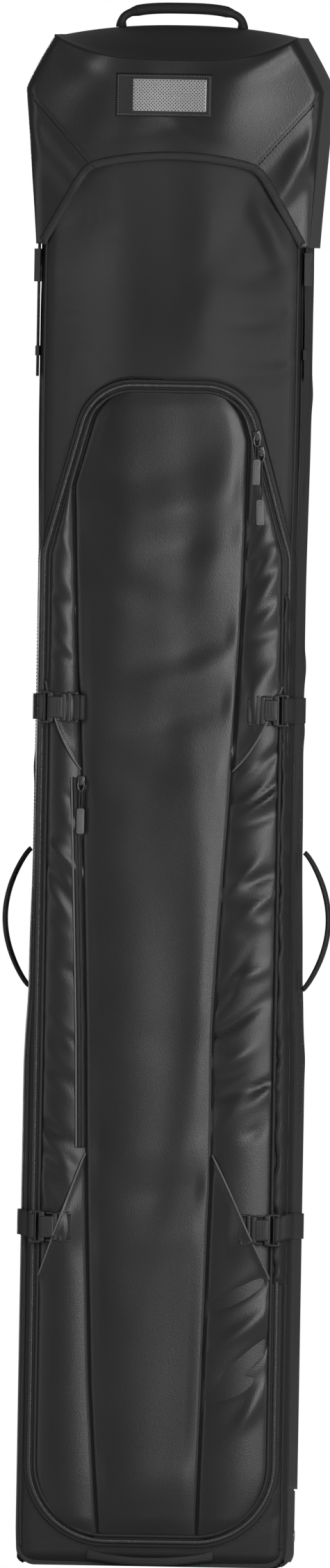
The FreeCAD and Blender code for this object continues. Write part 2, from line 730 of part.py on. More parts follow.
def hood():
    over = [(hood_outer, d.hood_tip, 0), (d.hood_wide, d.hood_wide_height, 0),
            (d.hood_shoulder, d.hood_shoulder_height, 0), (d.hood_crown_half, d.hood_crown, 0)]
    arch = [(d.arch_corner, d.arch_crown, d.arch_round), (d.arch_foot, d.hood_tip, 0)]
    right = arch + over
    left = [(-u, v, radius) for u, v, radius in reversed(right)]
    node(plate("hood_face", "XZ", [right + left], (hood_front, hood_front_inner)), "hood_front")
    node(plate("hood_rear", "XZ", [symmetric(over)], (hood_back_inner, hood_back)), "hood_back")
    depth = (hood_front_inner, hood_back_inner)
    thick = d.hood_wall
    side = plate("hood_cheek", "XZ", [[
        (hood_inner, d.hood_tip, 0), (hood_outer, d.hood_tip, 0),
        (d.hood_wide, d.hood_wide_height, 0), (d.hood_shoulder, d.hood_shoulder_height, 0),
        (d.hood_shoulder - thick, d.hood_shoulder_height - thick, 0),
        (d.hood_wide - thick, d.hood_wide_height - 2, 0)]], depth)
    node(side, "hood_side_right")
    node(mirrored("hood_cheek_left", side), "hood_side_left")
    roof = symmetric([
        (d.hood_shoulder - thick, d.hood_shoulder_height - thick, 0),
        (d.hood_shoulder, d.hood_shoulder_height, 0),
        (d.hood_crown_half, d.hood_crown, 0)])
    roof += [(-d.hood_crown_half, d.hood_crown - thick, 0), (d.hood_crown_half, d.hood_crown - thick, 0)]
    node(plate("hood_roof", "XZ", [roof], depth), "hood_top")


def hood_trim():
    rise = d.binding
    strip = [
        (d.arch_foot, d.hood_tip, 0),
        (d.arch_foot, d.hood_tip + rise * 2, 0),
        (d.arch_corner + rise / 2, d.arch_crown + rise, d.arch_round + rise),
    ]
    upper = [(-u, v, radius) for u, v, radius in reversed(strip)]
    lower = [(-d.arch_corner, d.arch_crown, d.arch_round), (d.arch_corner, d.arch_crown, d.arch_round)]
    trim = (hood_front - 1.6, hood_front)
    node(plate("arch_binding", "XZ", [strip + upper + lower], trim), "hood_binding")
    left, right = d.label_x - d.label_wide / 2, d.label_x + d.label_wide / 2
    low, high = d.label_height - d.label_tall / 2, d.label_height + d.label_tall / 2
    rim = d.label_border
    window = rectangle((left + rim + d.label_strip, right - rim), (low + rim, high - rim), 2)
    node(plate("label_rim", "XZ", [rectangle((left, right), (low, high), 3), window], trim), "label_frame")
    node(plate("label_sheet", "XZ", [window], (hood_front - 0.8, hood_front)), "label_window")


def hood_straps():
    """Straps sewn to the hood's tips, each running down through a ladder lock."""
    x_in = outside + d.strap_thick - 0.1
    x_out = x_in + d.strap_thick
    half = d.strap_wide / 2
    across = (d.strap_y - half, d.strap_y + half)
    strap = block("strap_band", (x_in, x_out), across, (d.strap_end, d.hood_tip))
    node(both_sides("strap_bands", strap), "hood_straps")
    gap = d.play
    around = (d.strap_y - half - 4, d.strap_y + half + 4)
    passage = ((x_in - gap, x_out + gap), (d.strap_y - half - gap, d.strap_y + half + gap))
    frame = block("lock_frame", (outside, x_out + 4), around, (d.lock_low, d.lock_high))
    path = block("lock_path", *passage, (d.lock_low - 1, d.lock_high + 1))
    windows = [
        block(f"lock_window_{i}", (x_out, x_out + 5), (d.strap_y - half, d.strap_y + half),
              (d.lock_low + low, d.lock_low + low + 8))
        for i, low in enumerate((8, 24))
    ]
    node(both_sides("locks", cut("lock", frame, path, *windows)), "ladder_locks")
    band = block("keeper_band", (outside, x_out + gap + 0.8), (across[0] - gap - 1, across[1] + gap + 1),
                 (d.keeper_low, d.keeper_low + d.keeper_tall))
    hole = block("keeper_hole", *passage, (d.keeper_low - 1, d.keeper_low + d.keeper_tall + 1))
    node(both_sides("keepers", cut("keeper", band, hole)), "strap_keepers")


# ---- handles -----------------------------------------------------------------------
def top_handle():
    tube = d.top_handle_tube
    pivot = d.hood_crown + tube + d.zip_gap
    grip = pivot + d.top_handle_rise
    half = d.top_handle_half
    pieces = [rod("handle_bar", "X", (Size(0), grip), tube, (-half, half))]
    for name, x in (("left", -half), ("right", half)):
        pieces.append(ball(f"handle_corner_{name}", x, Size(0), grip, tube))
        pieces.append(rod(f"handle_leg_{name}", "Z", (x, Size(0)), tube, (pivot, grip)))
        pieces.append(rod(f"handle_foot_{name}", "X", (Size(0), pivot), tube, (x - 7, x + 7)))
    handle = joined("handle", *pieces)
    node(handle, "top_handle")
    sleeve = rod("grip_sleeve", "X", (Size(0), grip), d.grip_radius, (-d.grip_half, d.grip_half))
    core = rod("grip_core", "X", (Size(0), grip), tube, (-d.grip_half - 1, d.grip_half + 1))
    node(cut("grip", sleeve, core), "top_handle_grip")


def side_handles():
    """A bowed webbing loop, rolled narrow at both ends where it turns."""
    axis = outside + d.fabric + d.zip_gap + d.side_handle_end
    out = outside + d.side_handle_out
    low, high, thick = d.side_handle_low, d.side_handle_high, d.side_handle_thick
    step = out - axis
    bend = Size(25)
    loop = plate("loop", "XZ", [[
        (axis, low, 0), (out, low + step, bend), (out, high - step, bend), (axis, high, 0),
        (axis, high - thick * 1.4, 0), (out - thick, high - step - thick * 0.4, bend - thick),
        (out - thick, low + step + thick * 0.4, bend - thick), (axis, low + thick * 1.4, 0)]],
        (-d.side_handle_wide / 2, d.side_handle_wide / 2))
    narrow, wide = d.side_handle_end, d.side_handle_wide / 2
    flare = plate("loop_flare", "XY", [[
        (axis, -narrow, 0), (axis + d.side_handle_flare, -wide, 0), (out + 1, -wide, 0),
        (out + 1, wide, 0), (axis + d.side_handle_flare, wide, 0), (axis, narrow, 0)]],
        (low - 1, high + 1))
    ends = [
        rod(f"loop_end_{i}", "Z", (axis, Size(0)), d.side_handle_end, span)
        for i, span in enumerate([(low, low + thick * 1.4), (high - thick * 1.4, high)])
    ]
    handle = joined("side_loop", shared("loop_band", loop, flare), *ends)
    node(handle, "side_handle_right")
    node(mirrored("side_loop_left", handle), "side_handle_left")
    patches = [
        block(f"patch_{i}", (outside, outside + d.fabric), (Size(-14), Size(14)), reach)
        for i, reach in enumerate([(low - 2, low + 20), (high - 20, high + 2)])
    ]
    node(group("patches", *patches, *[mirrored(f"{p.Name}_left", p) for p in patches]), "handle_patches")
    rows = [
        block(f"daisy_{i}", (outside, outside + d.fabric), (Size(-13), Size(13)), reach)
        for i, reach in enumerate([(low - 150, low - 3), (high + 3, high + 85)])
    ]
    node(group("daisy_rows", *rows, *[mirrored(f"{r.Name}_left", r) for r in rows]), "daisy_webbing")


def bottom_handle():
    back = front - d.play - d.zip_gap
    half = d.base_handle_half
    band = plate("base_band", "XZ", [rectangle((-half, half), (d.base_handle_low, d.base_handle_high), 5)],
                 (back - d.base_handle_thick, back))
    node(band, "bottom_handle")


def build():
    base_tray()
    base_board_and_screws()
    wheel_housings()
    wheel_axles()
    wheels()
    walls()
    inner_collar()
    inner_straps()
    lid()
    lid_layers()
    pocket_zip()
    placket()
    zip_sliders()
    compression_straps()
    hood()
    hood_trim()
    hood_straps()
    top_handle()
    side_handles()
    bottom_handle()


def check():
    """Stops on any failed object or bad shape, before a file is written."""
    for thing in doc.Objects:
        if "Invalid" in thing.State or "Error" in thing.State:
            raise RuntimeError(f"{thing.Name} failed: {thing.State}")
    labels = [thing.Label for thing in nodes]
    if len(set(labels)) != len(labels):
        raise RuntimeError("two sub-parts share a label")
    for thing in nodes:
        if thing.Shape.isNull() or not thing.Shape.isValid() or not thing.Shape.Solids:
            raise RuntimeError(f"{thing.Label} has no valid solid")


def export():
    os.makedirs("parts", exist_ok=True)
    for thing in nodes:
        thing.Shape.exportStep(f"parts/{thing.Label}.step")
    print(f"{len(nodes)} nodes, {sum(len(thing.Shape.Solids) for thing in nodes)} solids")


build()
doc.recompute()
check()
export()
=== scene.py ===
import json
import math

import bpy
import numpy as np
from mathutils import Matrix, Vector


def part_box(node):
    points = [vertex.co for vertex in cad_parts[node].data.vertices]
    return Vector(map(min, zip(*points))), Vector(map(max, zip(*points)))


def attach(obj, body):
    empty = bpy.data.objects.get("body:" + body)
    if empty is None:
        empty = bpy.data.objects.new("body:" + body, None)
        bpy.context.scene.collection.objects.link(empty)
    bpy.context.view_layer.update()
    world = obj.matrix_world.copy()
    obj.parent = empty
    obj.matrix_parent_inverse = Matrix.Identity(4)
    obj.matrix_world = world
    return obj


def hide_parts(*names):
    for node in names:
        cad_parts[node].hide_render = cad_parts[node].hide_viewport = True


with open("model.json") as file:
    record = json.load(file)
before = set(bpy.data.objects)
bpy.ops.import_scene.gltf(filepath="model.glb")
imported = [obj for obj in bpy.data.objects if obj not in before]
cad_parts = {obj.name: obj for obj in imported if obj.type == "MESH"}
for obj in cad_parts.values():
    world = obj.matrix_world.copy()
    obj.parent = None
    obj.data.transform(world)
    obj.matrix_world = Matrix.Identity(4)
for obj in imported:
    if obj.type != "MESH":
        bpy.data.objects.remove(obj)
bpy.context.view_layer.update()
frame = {"nodes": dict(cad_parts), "record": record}

# ---- places and sizes from the frame, in metres ----------------------------------------
ZIP_LOW, ZIP_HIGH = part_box("main_zip_lid_side")
HOOD_LOW, HOOD_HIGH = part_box("hood_front")
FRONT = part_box("lid_surround")[0].y
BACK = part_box("back_panel")[1].y
BODY_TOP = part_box("side_gusset_right")[1].z
TAPE = 0.007
ZIP_GAP = 0.0003
LID_HALF = ZIP_HIGH.x + ZIP_GAP
LID_FOOT, LID_TOP = ZIP_LOW.z - ZIP_GAP, ZIP_HIGH.z + ZIP_GAP
LID_SHOULDER = 1.230
LID_TOP_HALF = 0.092
FOOT_ROUND, CROWN_ROUND = 0.095, 0.064
LAYER = 0.002
SIDE_NAME = {-1: "left", 1: "right"}
FRONTWARDS = (0, -1, 0)
rng = np.random.default_rng(7)


# ---- small numeric helpers -------------------------------------------------------------
def smooth(low, high, value):
    """0 below low, 1 above high, with a smooth S between."""
    t = np.clip((value - low) / (high - low), 0, 1)
    return t * t * (3 - 2 * t)


def bell(distance, width):
    """1 at no distance, falling off either way as a Gaussian of the given width."""
    return np.exp(-(distance / width) ** 2)


def ease(points, values, query):
    """A value that passes through the given points with smooth steps between them."""
    query = np.asarray(query, float)
    result = np.full(query.shape, float(values[0]))
    for a, b, p, q in zip(points, points[1:], values, values[1:]):
        result = result + (q - p) * smooth(a, b, query)
    return result


def rounded_path(corners, count):
    """A closed path through corners (u, v, radius) with tangent arcs, at count even steps."""
    pieces = []
    total = len(corners)
    for i, (u, v, radius) in enumerate(corners):
        here = np.array([u, v])
        to_before = np.array(corners[i - 1][:2]) - here
        to_after = np.array(corners[(i + 1) % total][:2]) - here
        to_before /= np.linalg.norm(to_before)
        to_after /= np.linalg.norm(to_after)
        if radius <= 0:
            pieces.append(here[None])
            continue
        half = math.acos(float(np.clip(to_before @ to_after, -1, 1))) / 2
        middle = to_before + to_after
        centre = here + middle / np.linalg.norm(middle) * radius / math.sin(half)
        first = here + to_before * radius / math.tan(half) - centre
        last = here + to_after * radius / math.tan(half) - centre
        start = math.atan2(first[1], first[0])
        turn = (math.atan2(last[1], last[0]) - start + math.pi) % (2 * math.pi) - math.pi
        angle = start + turn * np.linspace(0, 1, 25)
        pieces.append(centre + radius * np.stack([np.cos(angle), np.sin(angle)], 1))
    path = np.vstack(pieces)
    return resample(np.vstack([path, path[:1]]), count + 1)[:-1]


def resample(path, count):
    """The same path at count points an even length apart."""
    length = np.concatenate([[0], np.cumsum(np.linalg.norm(np.diff(path, axis=0), axis=1))])
    steps = np.linspace(0, length[-1], count)
    return np.stack([np.interp(steps, length, path[:, i]) for i in range(path.shape[1])], 1)


# ---- mesh helpers ----------------------------------------------------------------------
def grid_quads(rows, columns, wrap_u=False, wrap_v=False):
    """Faces of a grid of points, joined up across its rows or columns where it wraps."""
    index = np.arange(rows * columns).reshape(rows, columns)
    u = np.vstack([index, index[:1]]) if wrap_u else index
    w = np.hstack([u, u[:, :1]]) if wrap_v else u
    return np.stack([w[:-1, :-1], w[1:, :-1], w[1:, 1:], w[:-1, 1:]], -1).reshape(-1, 4)


def outward_share(points, quads, facing):
    """Sum of each face's area vector times the way it should look: positive when it points out."""
    a, b, c, d = (points[quads[:, i]] for i in range(4))
    area = np.cross(c - a, d - b)
    middle = (a + b + c + d) / 4
    look = middle - points.mean(0) if facing is None else np.asarray(facing, float)
    return float((area * look).sum())


def grids_piece(name, grids, wrap_u=False, wrap_v=False, facing=None):
    """One mesh of several grids of points (rows, columns, 3), each turned to face outwards."""
    all_points, all_quads, start = [], [], 0
    for grid in grids:
        flat = grid.reshape(-1, 3)
        quads = grid_quads(*grid.shape[:2], wrap_u, wrap_v)
        if outward_share(flat, quads, facing) < 0:
            quads = quads[:, ::-1]
        all_points.append(flat)
        all_quads.append(quads + start)
        start += len(flat)
    points, quads = np.concatenate(all_points), np.concatenate(all_quads)
    mesh = bpy.data.meshes.new(name)
    mesh.vertices.add(len(points))
    mesh.vertices.foreach_set("co", points.astype(np.float32).ravel())
    mesh.loops.add(quads.size)
    mesh.loops.foreach_set("vertex_index", quads.astype(np.int32).ravel())
    mesh.polygons.add(len(quads))
    mesh.polygons.foreach_set("loop_start", np.arange(0, quads.size, 4, dtype=np.int32))
    mesh.polygons.foreach_set("use_smooth", np.ones(len(quads), bool))
    mesh.update(calc_edges=True)
    mesh.validate()
    piece = bpy.data.objects.new(name, mesh)
    bpy.context.scene.collection.objects.link(piece)
    return piece


def grid_piece(name, points, wrap_u=False, wrap_v=False, facing=None):
    """A mesh of one grid of points."""
    return grids_piece(name, [points], wrap_u, wrap_v, facing)


def give_wall(piece, thickness, offset=-1):
    """Turns a sheet into cloth of the given thickness; offset -1 grows inwards."""
    wall = piece.modifiers.new("wall", "SOLIDIFY")
    wall.thickness = thickness
    wall.offset = offset
    wall.use_even_offset = False
    return piece


def tube_points(path, radius, sides=8, closed=False, flat=1.0, up=None):
    """Rings round a path: radius may vary along it; flat squeezes the ring along its normal."""
    path = np.asarray(path, float)
    step = np.roll(path, -1, 0) - np.roll(path, 1, 0) if closed else np.gradient(path, axis=0)
    step /= np.linalg.norm(step, axis=1, keepdims=True) + 1e-12
    reference = np.array(up if up is not None else (0.0, -1.0, 0.0))
    side = np.cross(step, reference)
    weak = np.linalg.norm(side, axis=1) < 1e-4
    side[weak] = np.cross(step[weak], np.array([0.0, 0.0, 1.0]))
    side /= np.linalg.norm(side, axis=1, keepdims=True) + 1e-12
    normal = np.cross(side, step)
    angle = np.linspace(0, 2 * math.pi, sides, endpoint=False)
    radius = np.broadcast_to(np.asarray(radius, float), (len(path),))[:, None, None]
    sideways = np.cos(angle)[None, :, None] * side[:, None]
    raised = flat * np.sin(angle)[None, :, None] * normal[:, None]
    return path[:, None] + radius * (sideways + raised)


def capped(points):
    """A tube's rings with both ends drawn in to a point."""
    ends = [np.repeat(ring.mean(0)[None, None], points.shape[1], 1) for ring in (points[0], points[-1])]
    return np.concatenate([ends[0], points, ends[1]])


def tube_piece(name, path, radius, body, finish, sides=8, closed=False, flat=1.0, up=None, replaced=()):
    """A finished cord or piping: rings along a path, closed in a loop or drawn in at both ends."""
    points = tube_points(path, radius, sides, closed, flat, up)
    piece = grid_piece(name, points if closed else capped(points), wrap_u=closed, wrap_v=True)
    return finished(piece, body, finish, replaced)


def cloth_piece(name, x, y, z, wall, body, finish, replaced=(), facing=FRONTWARDS, offset=-1,
                wrap_u=False, wrap_v=False):
    """A finished sheet of cloth with a wall, over grids of x, y and z that broadcast together."""
    points = np.stack(np.broadcast_arrays(x, y, z), -1)
    piece = give_wall(grid_piece(name, points, wrap_u, wrap_v, facing), wall, offset)
    return finished(piece, body, finish, replaced)


def moulded_block(centre, half, corner, edge, turn=0.0):
    """A rounded plate: a rounded rectangle drawn in at its front and back edges by a quarter round.

    centre and half are (x, y, z); corner rounds it as seen from the front, edge its rims, and
    turn leans it in the front plane.
    """
    arc = np.linspace(0, math.pi / 2, 6)
    inset = np.concatenate([edge * (1 - np.sin(arc)), edge * (1 - np.cos(arc))])
    depth = np.concatenate([half[1] - edge * (1 - np.cos(arc)), -half[1] + edge * (1 - np.sin(arc))])
    around = np.linspace(0, math.pi / 2, 6)
    quarter = [(sx, sz, around + start) for sx, sz, start in
               ((1, 1, 0), (-1, 1, math.pi / 2), (-1, -1, math.pi), (1, -1, 1.5 * math.pi))]
    rings = []
    for step, place in zip(inset, depth):
        round_corner = max(corner - step, 1e-5)
        flat_u, flat_v = half[0] - step - round_corner, half[2] - step - round_corner
        u = np.concatenate([sx * flat_u + round_corner * np.cos(a) for sx, sz, a in quarter])
        v = np.concatenate([sz * flat_v + round_corner * np.sin(a) for sx, sz, a in quarter])
        rings.append(np.stack([u, np.full_like(u, place), v], 1))
    rings = np.stack(rings)
    inner = rings[[0, -1]] * np.array([0.5, 1, 0.5])
    rings = np.concatenate([inner[:1], rings, inner[1:]])
    points = capped(rings)
    cosine, sine = math.cos(turn), math.sin(turn)
    x = points[..., 0] * cosine + points[..., 2] * sine
    z = -points[..., 0] * sine + points[..., 2] * cosine
    return np.stack([x, points[..., 1], z], -1) + np.asarray(centre, float)


def blocks_piece(name, blocks):
    """One moulding of several rounded plates."""
    return grids_piece(name, blocks, wrap_v=True)


def copies_piece(name, template, places, axes):
    """One mesh of many copies of a template (points, faces), each set on its own axes."""
    points, faces = template
    points = np.asarray(points, float)
    count = len(places)
    world = np.einsum("pk,nkc->npc", points, axes) + np.asarray(places)[:, None]
    offset = (np.arange(count) * len(points))[:, None, None]
    quads = (np.asarray(faces)[None] + offset).reshape(-1, np.asarray(faces).shape[1])
    mesh = bpy.data.meshes.new(name)
    mesh.from_pydata(world.reshape(-1, 3).tolist(), [], quads.tolist())
    mesh.polygons.foreach_set("use_smooth", np.ones(len(mesh.polygons), bool))
    mesh.update()
    piece = bpy.data.objects.new(name, mesh)
    bpy.context.scene.collection.objects.link(piece)
    return piece


def stitch_template(length, width, height):
    """A short stitch: a low arch of thread with both ends in the cloth."""
    t = np.linspace(-1, 1, 5)
    spine = np.stack([t * length / 2, np.zeros(5), height * (1 - t ** 2) - height * 0.4], 1)
    offsets = np.array([[0, 1, 0], [0, 0, 1], [0, -1, 0], [0, 0, -1]]) * width / 2
    points = (spine[:, None] + offsets[None]).reshape(-1, 3)
    faces = [[i * 4 + j, i * 4 + (j + 1) % 4, i * 4 + 4 + (j + 1) % 4, i * 4 + 4 + j]
             for i in range(4) for j in range(4)]
    return points, faces


def path_axes(path, outwards):
    """At each point of a path: along it, across it, and outwards."""
    step = np.gradient(path, axis=0)
    step /= np.linalg.norm(step, axis=1, keepdims=True) + 1e-12
    out = np.broadcast_to(np.asarray(outwards, float), path.shape)
    across = np.cross(out, step)
    across /= np.linalg.norm(across, axis=1, keepdims=True) + 1e-12
    return np.stack([step, across, np.cross(step, across)], 1)


def stitches(name, path, body, finish, pitch=0.0042, length=0.0028, width=0.0008, outwards=(0, -1, 0)):
    """A row of thread stitches laid on a path."""
    span = np.linalg.norm(np.diff(path, axis=0), axis=1).sum()
    even = resample(path, max(3, int(span / pitch)))
    piece = copies_piece(name, stitch_template(length, width, 0.0006), even, path_axes(even, outwards))
    return finished(piece, body, finish)


# ---- materials -------------------------------------------------------------------------
def new_group(name, inputs, outputs):
    """A shader node group with named value inputs and outputs."""
    group = bpy.data.node_groups.new(name, "ShaderNodeTree")
    for label, default in inputs:
        socket = group.interface.new_socket(label, in_out="INPUT", socket_type="NodeSocketFloat")
        socket.default_value = default
    for label, kind in outputs:
        group.interface.new_socket(label, in_out="OUTPUT", socket_type=kind)
    inside = group.nodes.new("NodeGroupInput")
    outside = group.nodes.new("NodeGroupOutput")
    return group, inside, outside


def math_node(tree, operation, a, b=None, clamp=False):
    """A Math node; a and b are numbers or the outputs of other nodes."""
    node = tree.nodes.new("ShaderNodeMath")
    node.operation = operation
    node.use_clamp = clamp
    for socket, value in zip(node.inputs, (a, b)):
        if value is None:
            continue
        if isinstance(value, (int, float)):
            socket.default_value = value
        else:
            tree.links.new(value, socket)
    return node.outputs[0]


def noise_node(tree, vector, scale, detail, roughness=0.5):
    """A Noise Texture on the given coordinates; scale is a number or an output."""
    node = tree.nodes.new("ShaderNodeTexNoise")
    node.inputs["Detail"].default_value = detail
    node.inputs["Roughness"].default_value = roughness
    tree.links.new(vector, node.inputs["Vector"])
    if isinstance(scale, (int, float)):
        node.inputs["Scale"].default_value = scale
    else:
        tree.links.new(scale, node.inputs["Scale"])
    return node.outputs["Fac"]


def cloth_weave_group():
    """Plain weave: threads over and under along three directions, softened by noise."""
    group, inside, outside = new_group(
        "cloth_weave", [("Threads per metre", 1200.0), ("Slub", 0.35)], [("Height", "NodeSocketFloat")])
    place = group.nodes.new("ShaderNodeTexCoord").outputs["Object"]
    parts = group.nodes.new("ShaderNodeSeparateXYZ")
    group.links.new(place, parts.inputs[0])
    waves = []
    for axis in range(3):
        turn = math_node(group, "MULTIPLY", parts.outputs[axis], inside.outputs["Threads per metre"])
        waves.append(math_node(group, "SINE", math_node(group, "MULTIPLY", turn, math.pi)))
    level = math_node(group, "MULTIPLY", waves[0], waves[2])
    cross = math_node(group, "MULTIPLY", waves[1], waves[2])
    woven = math_node(group, "MULTIPLY", math_node(group, "ADD", level, cross), 0.25)
    slub = noise_node(group, place, 900.0, 2.0)
    rough = math_node(group, "MULTIPLY", slub, inside.outputs["Slub"])
    group.links.new(math_node(group, "ADD", woven, rough), outside.inputs["Height"])
    return group


def skin_grain_group():
    """The fine leathery grain of a coated cloth: small cells over a broader orange peel."""
    group, inside, outside = new_group(
        "skin_grain", [("Cells", 700.0), ("Peel", 0.5)], [("Height", "NodeSocketFloat")])
    place = group.nodes.new("ShaderNodeTexCoord").outputs["Object"]
    cells = group.nodes.new("ShaderNodeTexVoronoi")
    group.links.new(place, cells.inputs["Vector"])
    group.links.new(inside.outputs["Cells"], cells.inputs["Scale"])
    peel = noise_node(group, place, 240.0, 4.0, 0.6)
    mixed = math_node(group, "MULTIPLY", peel, inside.outputs["Peel"])
    group.links.new(math_node(group, "ADD", cells.outputs["Distance"], mixed), outside.inputs["Height"])
    return group


def use_marks_group():
    """Soft clouds of wear, and dust: a mask of noise clouds over every surface, and one for fine specks."""
    group, inside, outside = new_group(
        "use_marks", [("Cloud size", 9.0), ("Speck density", 0.62)],
        [("Clouds", "NodeSocketFloat"), ("Specks", "NodeSocketFloat")])
    place = group.nodes.new("ShaderNodeTexCoord").outputs["Object"]
    clouds = noise_node(group, place, inside.outputs["Cloud size"], 4.0, 0.55)
    fine = noise_node(group, place, 1500.0, 1.0)
    above = math_node(group, "SUBTRACT", fine, inside.outputs["Speck density"])
    specks = math_node(group, "MULTIPLY", above, 9.0, clamp=True)
    group.links.new(clouds, outside.inputs["Clouds"])
    group.links.new(specks, outside.inputs["Specks"])
    return group


WEAVE, GRAIN, MARKS = cloth_weave_group(), skin_grain_group(), use_marks_group()
BUMP_DEPTH = 0.0004


def finish_material(name, colour, light, roughness, bump, texture=GRAIN, settings=(), metallic=0.0,
                    rough_range=0.10):
    """A finish: base colour clouded towards a lighter one, roughness that varies, and a relief."""
    material = bpy.data.materials.new(name)
    material.use_nodes = True
    tree = material.node_tree
    shader = tree.nodes["Principled BSDF"]
    marks = tree.nodes.new("ShaderNodeGroup")
    marks.node_tree = MARKS
    mix = tree.nodes.new("ShaderNodeMix")
    mix.data_type = "RGBA"
    mix.inputs[6].default_value = (*colour, 1)
    mix.inputs[7].default_value = (*light, 1)
    tone = math_node(tree, "ADD", math_node(tree, "MULTIPLY", marks.outputs["Clouds"], 0.8),
                     math_node(tree, "MULTIPLY", marks.outputs["Specks"], 0.35), clamp=True)
    tree.links.new(tone, mix.inputs[0])
    tree.links.new(mix.outputs[2], shader.inputs["Base Color"])
    off_middle = math_node(tree, "SUBTRACT", marks.outputs["Clouds"], 0.5)
    spread = math_node(tree, "MULTIPLY", off_middle, rough_range * 2)
    tree.links.new(math_node(tree, "ADD", spread, roughness, clamp=True), shader.inputs["Roughness"])
    relief = tree.nodes.new("ShaderNodeGroup")
    relief.node_tree = texture
    for label, value in settings:
        relief.inputs[label].default_value = value
    bumps = tree.nodes.new("ShaderNodeBump")
    bumps.inputs["Strength"].default_value = bump
    bumps.inputs["Distance"].default_value = BUMP_DEPTH
    tree.links.new(relief.outputs["Height"], bumps.inputs["Height"])
    tree.links.new(bumps.outputs["Normal"], shader.inputs["Normal"])
    shader.inputs["Metallic"].default_value = metallic
    return material


def grey(level, tint=0.0):
    """A neutral colour, a little bluer by the tint."""
    return (level, level, level * (1 + tint))


FINISH = {
    "coated_fabric": finish_material("coated_cloth", grey(0.012), grey(0.020), 0.36, 0.30, GRAIN,
                                     [("Cells", 900.0)], rough_range=0.06),
    "body_fabric": finish_material("ballistic_cloth", grey(0.007, 0.02), grey(0.013, 0.02), 0.50, 0.8, WEAVE,
                                   [("Threads per metre", 1100.0)]),
    "webbing": finish_material("ribbed_webbing", grey(0.012), grey(0.022), 0.62, 1.0, WEAVE,
                               [("Threads per metre", 620.0)]),
    "grip_fabric": finish_material("grip_sleeve_cloth", grey(0.012), grey(0.022), 0.7, 1.0, WEAVE,
                                   [("Threads per metre", 900.0)]),
    "zip_tape": finish_material("zip_tape_knit", grey(0.010), grey(0.018), 0.55, 0.8, WEAVE,
                                [("Threads per metre", 1500.0)]),
    "zip_coil": finish_material("nylon_coil", grey(0.028), grey(0.045), 0.34, 0.3, GRAIN),
    "buckle_plastic": finish_material("acetal", grey(0.016), grey(0.024), 0.36, 0.25, GRAIN,
                                      [("Cells", 1600.0)]),
    "pull_plastic": finish_material("moulded_tab", grey(0.10), grey(0.15), 0.38, 0.25, GRAIN),
    "slider_metal": finish_material("gunmetal", grey(0.10), grey(0.16), 0.30, 0.2, GRAIN, metallic=0.9),
    "tray_plastic": finish_material("grained_moulding", grey(0.014), grey(0.022), 0.55, 0.6, GRAIN),
    "hub_plastic": finish_material("hub_moulding", grey(0.045), grey(0.06), 0.45, 0.3, GRAIN),
    "tyre_rubber": finish_material("urethane_tread", grey(0.014), grey(0.026), 0.66, 0.5, GRAIN),
    "steel": finish_material("zinc_plate", grey(0.45), grey(0.6), 0.32, 0.15, GRAIN, metallic=1.0),
    "label_mesh": finish_material("dot_mesh", grey(0.34), grey(0.48), 0.38, 0.3, GRAIN),
    "lining": finish_material("lining_cloth", grey(0.055), grey(0.07), 0.6, 0.5, WEAVE),
    "thread": finish_material("bonded_thread", grey(0.035), grey(0.05), 0.5, 0.3, WEAVE),
    "pale_thread": finish_material("pale_thread", grey(0.16), grey(0.22), 0.5, 0.3, WEAVE),
    "shadow_gap": finish_material("seam_shadow", grey(0.004), grey(0.006), 0.9, 0.2, WEAVE),
}


def finished(piece, body, finish, replaced=()):
    """Gives a piece its finish, the body it rides on and the nodes it stands for."""
    piece.data.materials.clear()
    piece.data.materials.append(FINISH[finish])
    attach(piece, body)
    if replaced:
        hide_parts(*replaced)
    return piece


def dress_cad_nodes():
    """Every CAD node takes its own slot's finish; the inner collar is cut from the body's cloth."""
    for entry in frame["record"]["subparts"]:
        name = entry["node"]
        slot = "body_fabric" if name == "inner_collar" else entry["material_slot"]
        node = frame["nodes"][name]
        node.data.materials.clear()
        node.data.materials.append(FINISH[slot])


# ---- the bag's own shape ---------------------------------------------------------------
FOOT_CORNER = 0.020
EDGE_ROUND = 0.020


def half_width(z):
    """Half width of the body: drawn in by the upper straps, fuller at the foot, rounded below."""
    side = ease([0.0, 0.05, 0.60, 0.72, 0.88, 1.03, 1.16, 1.42, 1.70],
                [0.1640, 0.1655, 0.1655, 0.1610, 0.1585, 0.1572, 0.1572, 0.1603, 0.1603], z)
    rise = np.clip(FOOT_CORNER - np.asarray(z, float), 0, FOOT_CORNER)
    return side - (FOOT_CORNER - np.sqrt(FOOT_CORNER ** 2 - rise ** 2))


def crown_height(z):
    """How far the padding stands out at the middle: least at the foot and under the hood."""
    return 0.0105 * smooth(-0.03, 0.12, z) * (1 - 0.88 * smooth(1.46, 1.60, z))


def front_surface(x, z):
    """The padded front: crowned across the middle, and rounded over at its long edges."""
    width = half_width(z)
    crown = crown_height(z) * np.clip(1 - (x / width) ** 2, 0, 1) ** 0.8
    over = np.clip(np.abs(x) - (width - EDGE_ROUND), 0, EDGE_ROUND)
    fall = EDGE_ROUND - np.sqrt(EDGE_ROUND ** 2 - over ** 2)
    return FRONT - crown + fall


def on_front(x, z, lift):
    """Points that stand lift in front of the padded front."""
    return np.stack([x, front_surface(x, z) - lift, z], -1)


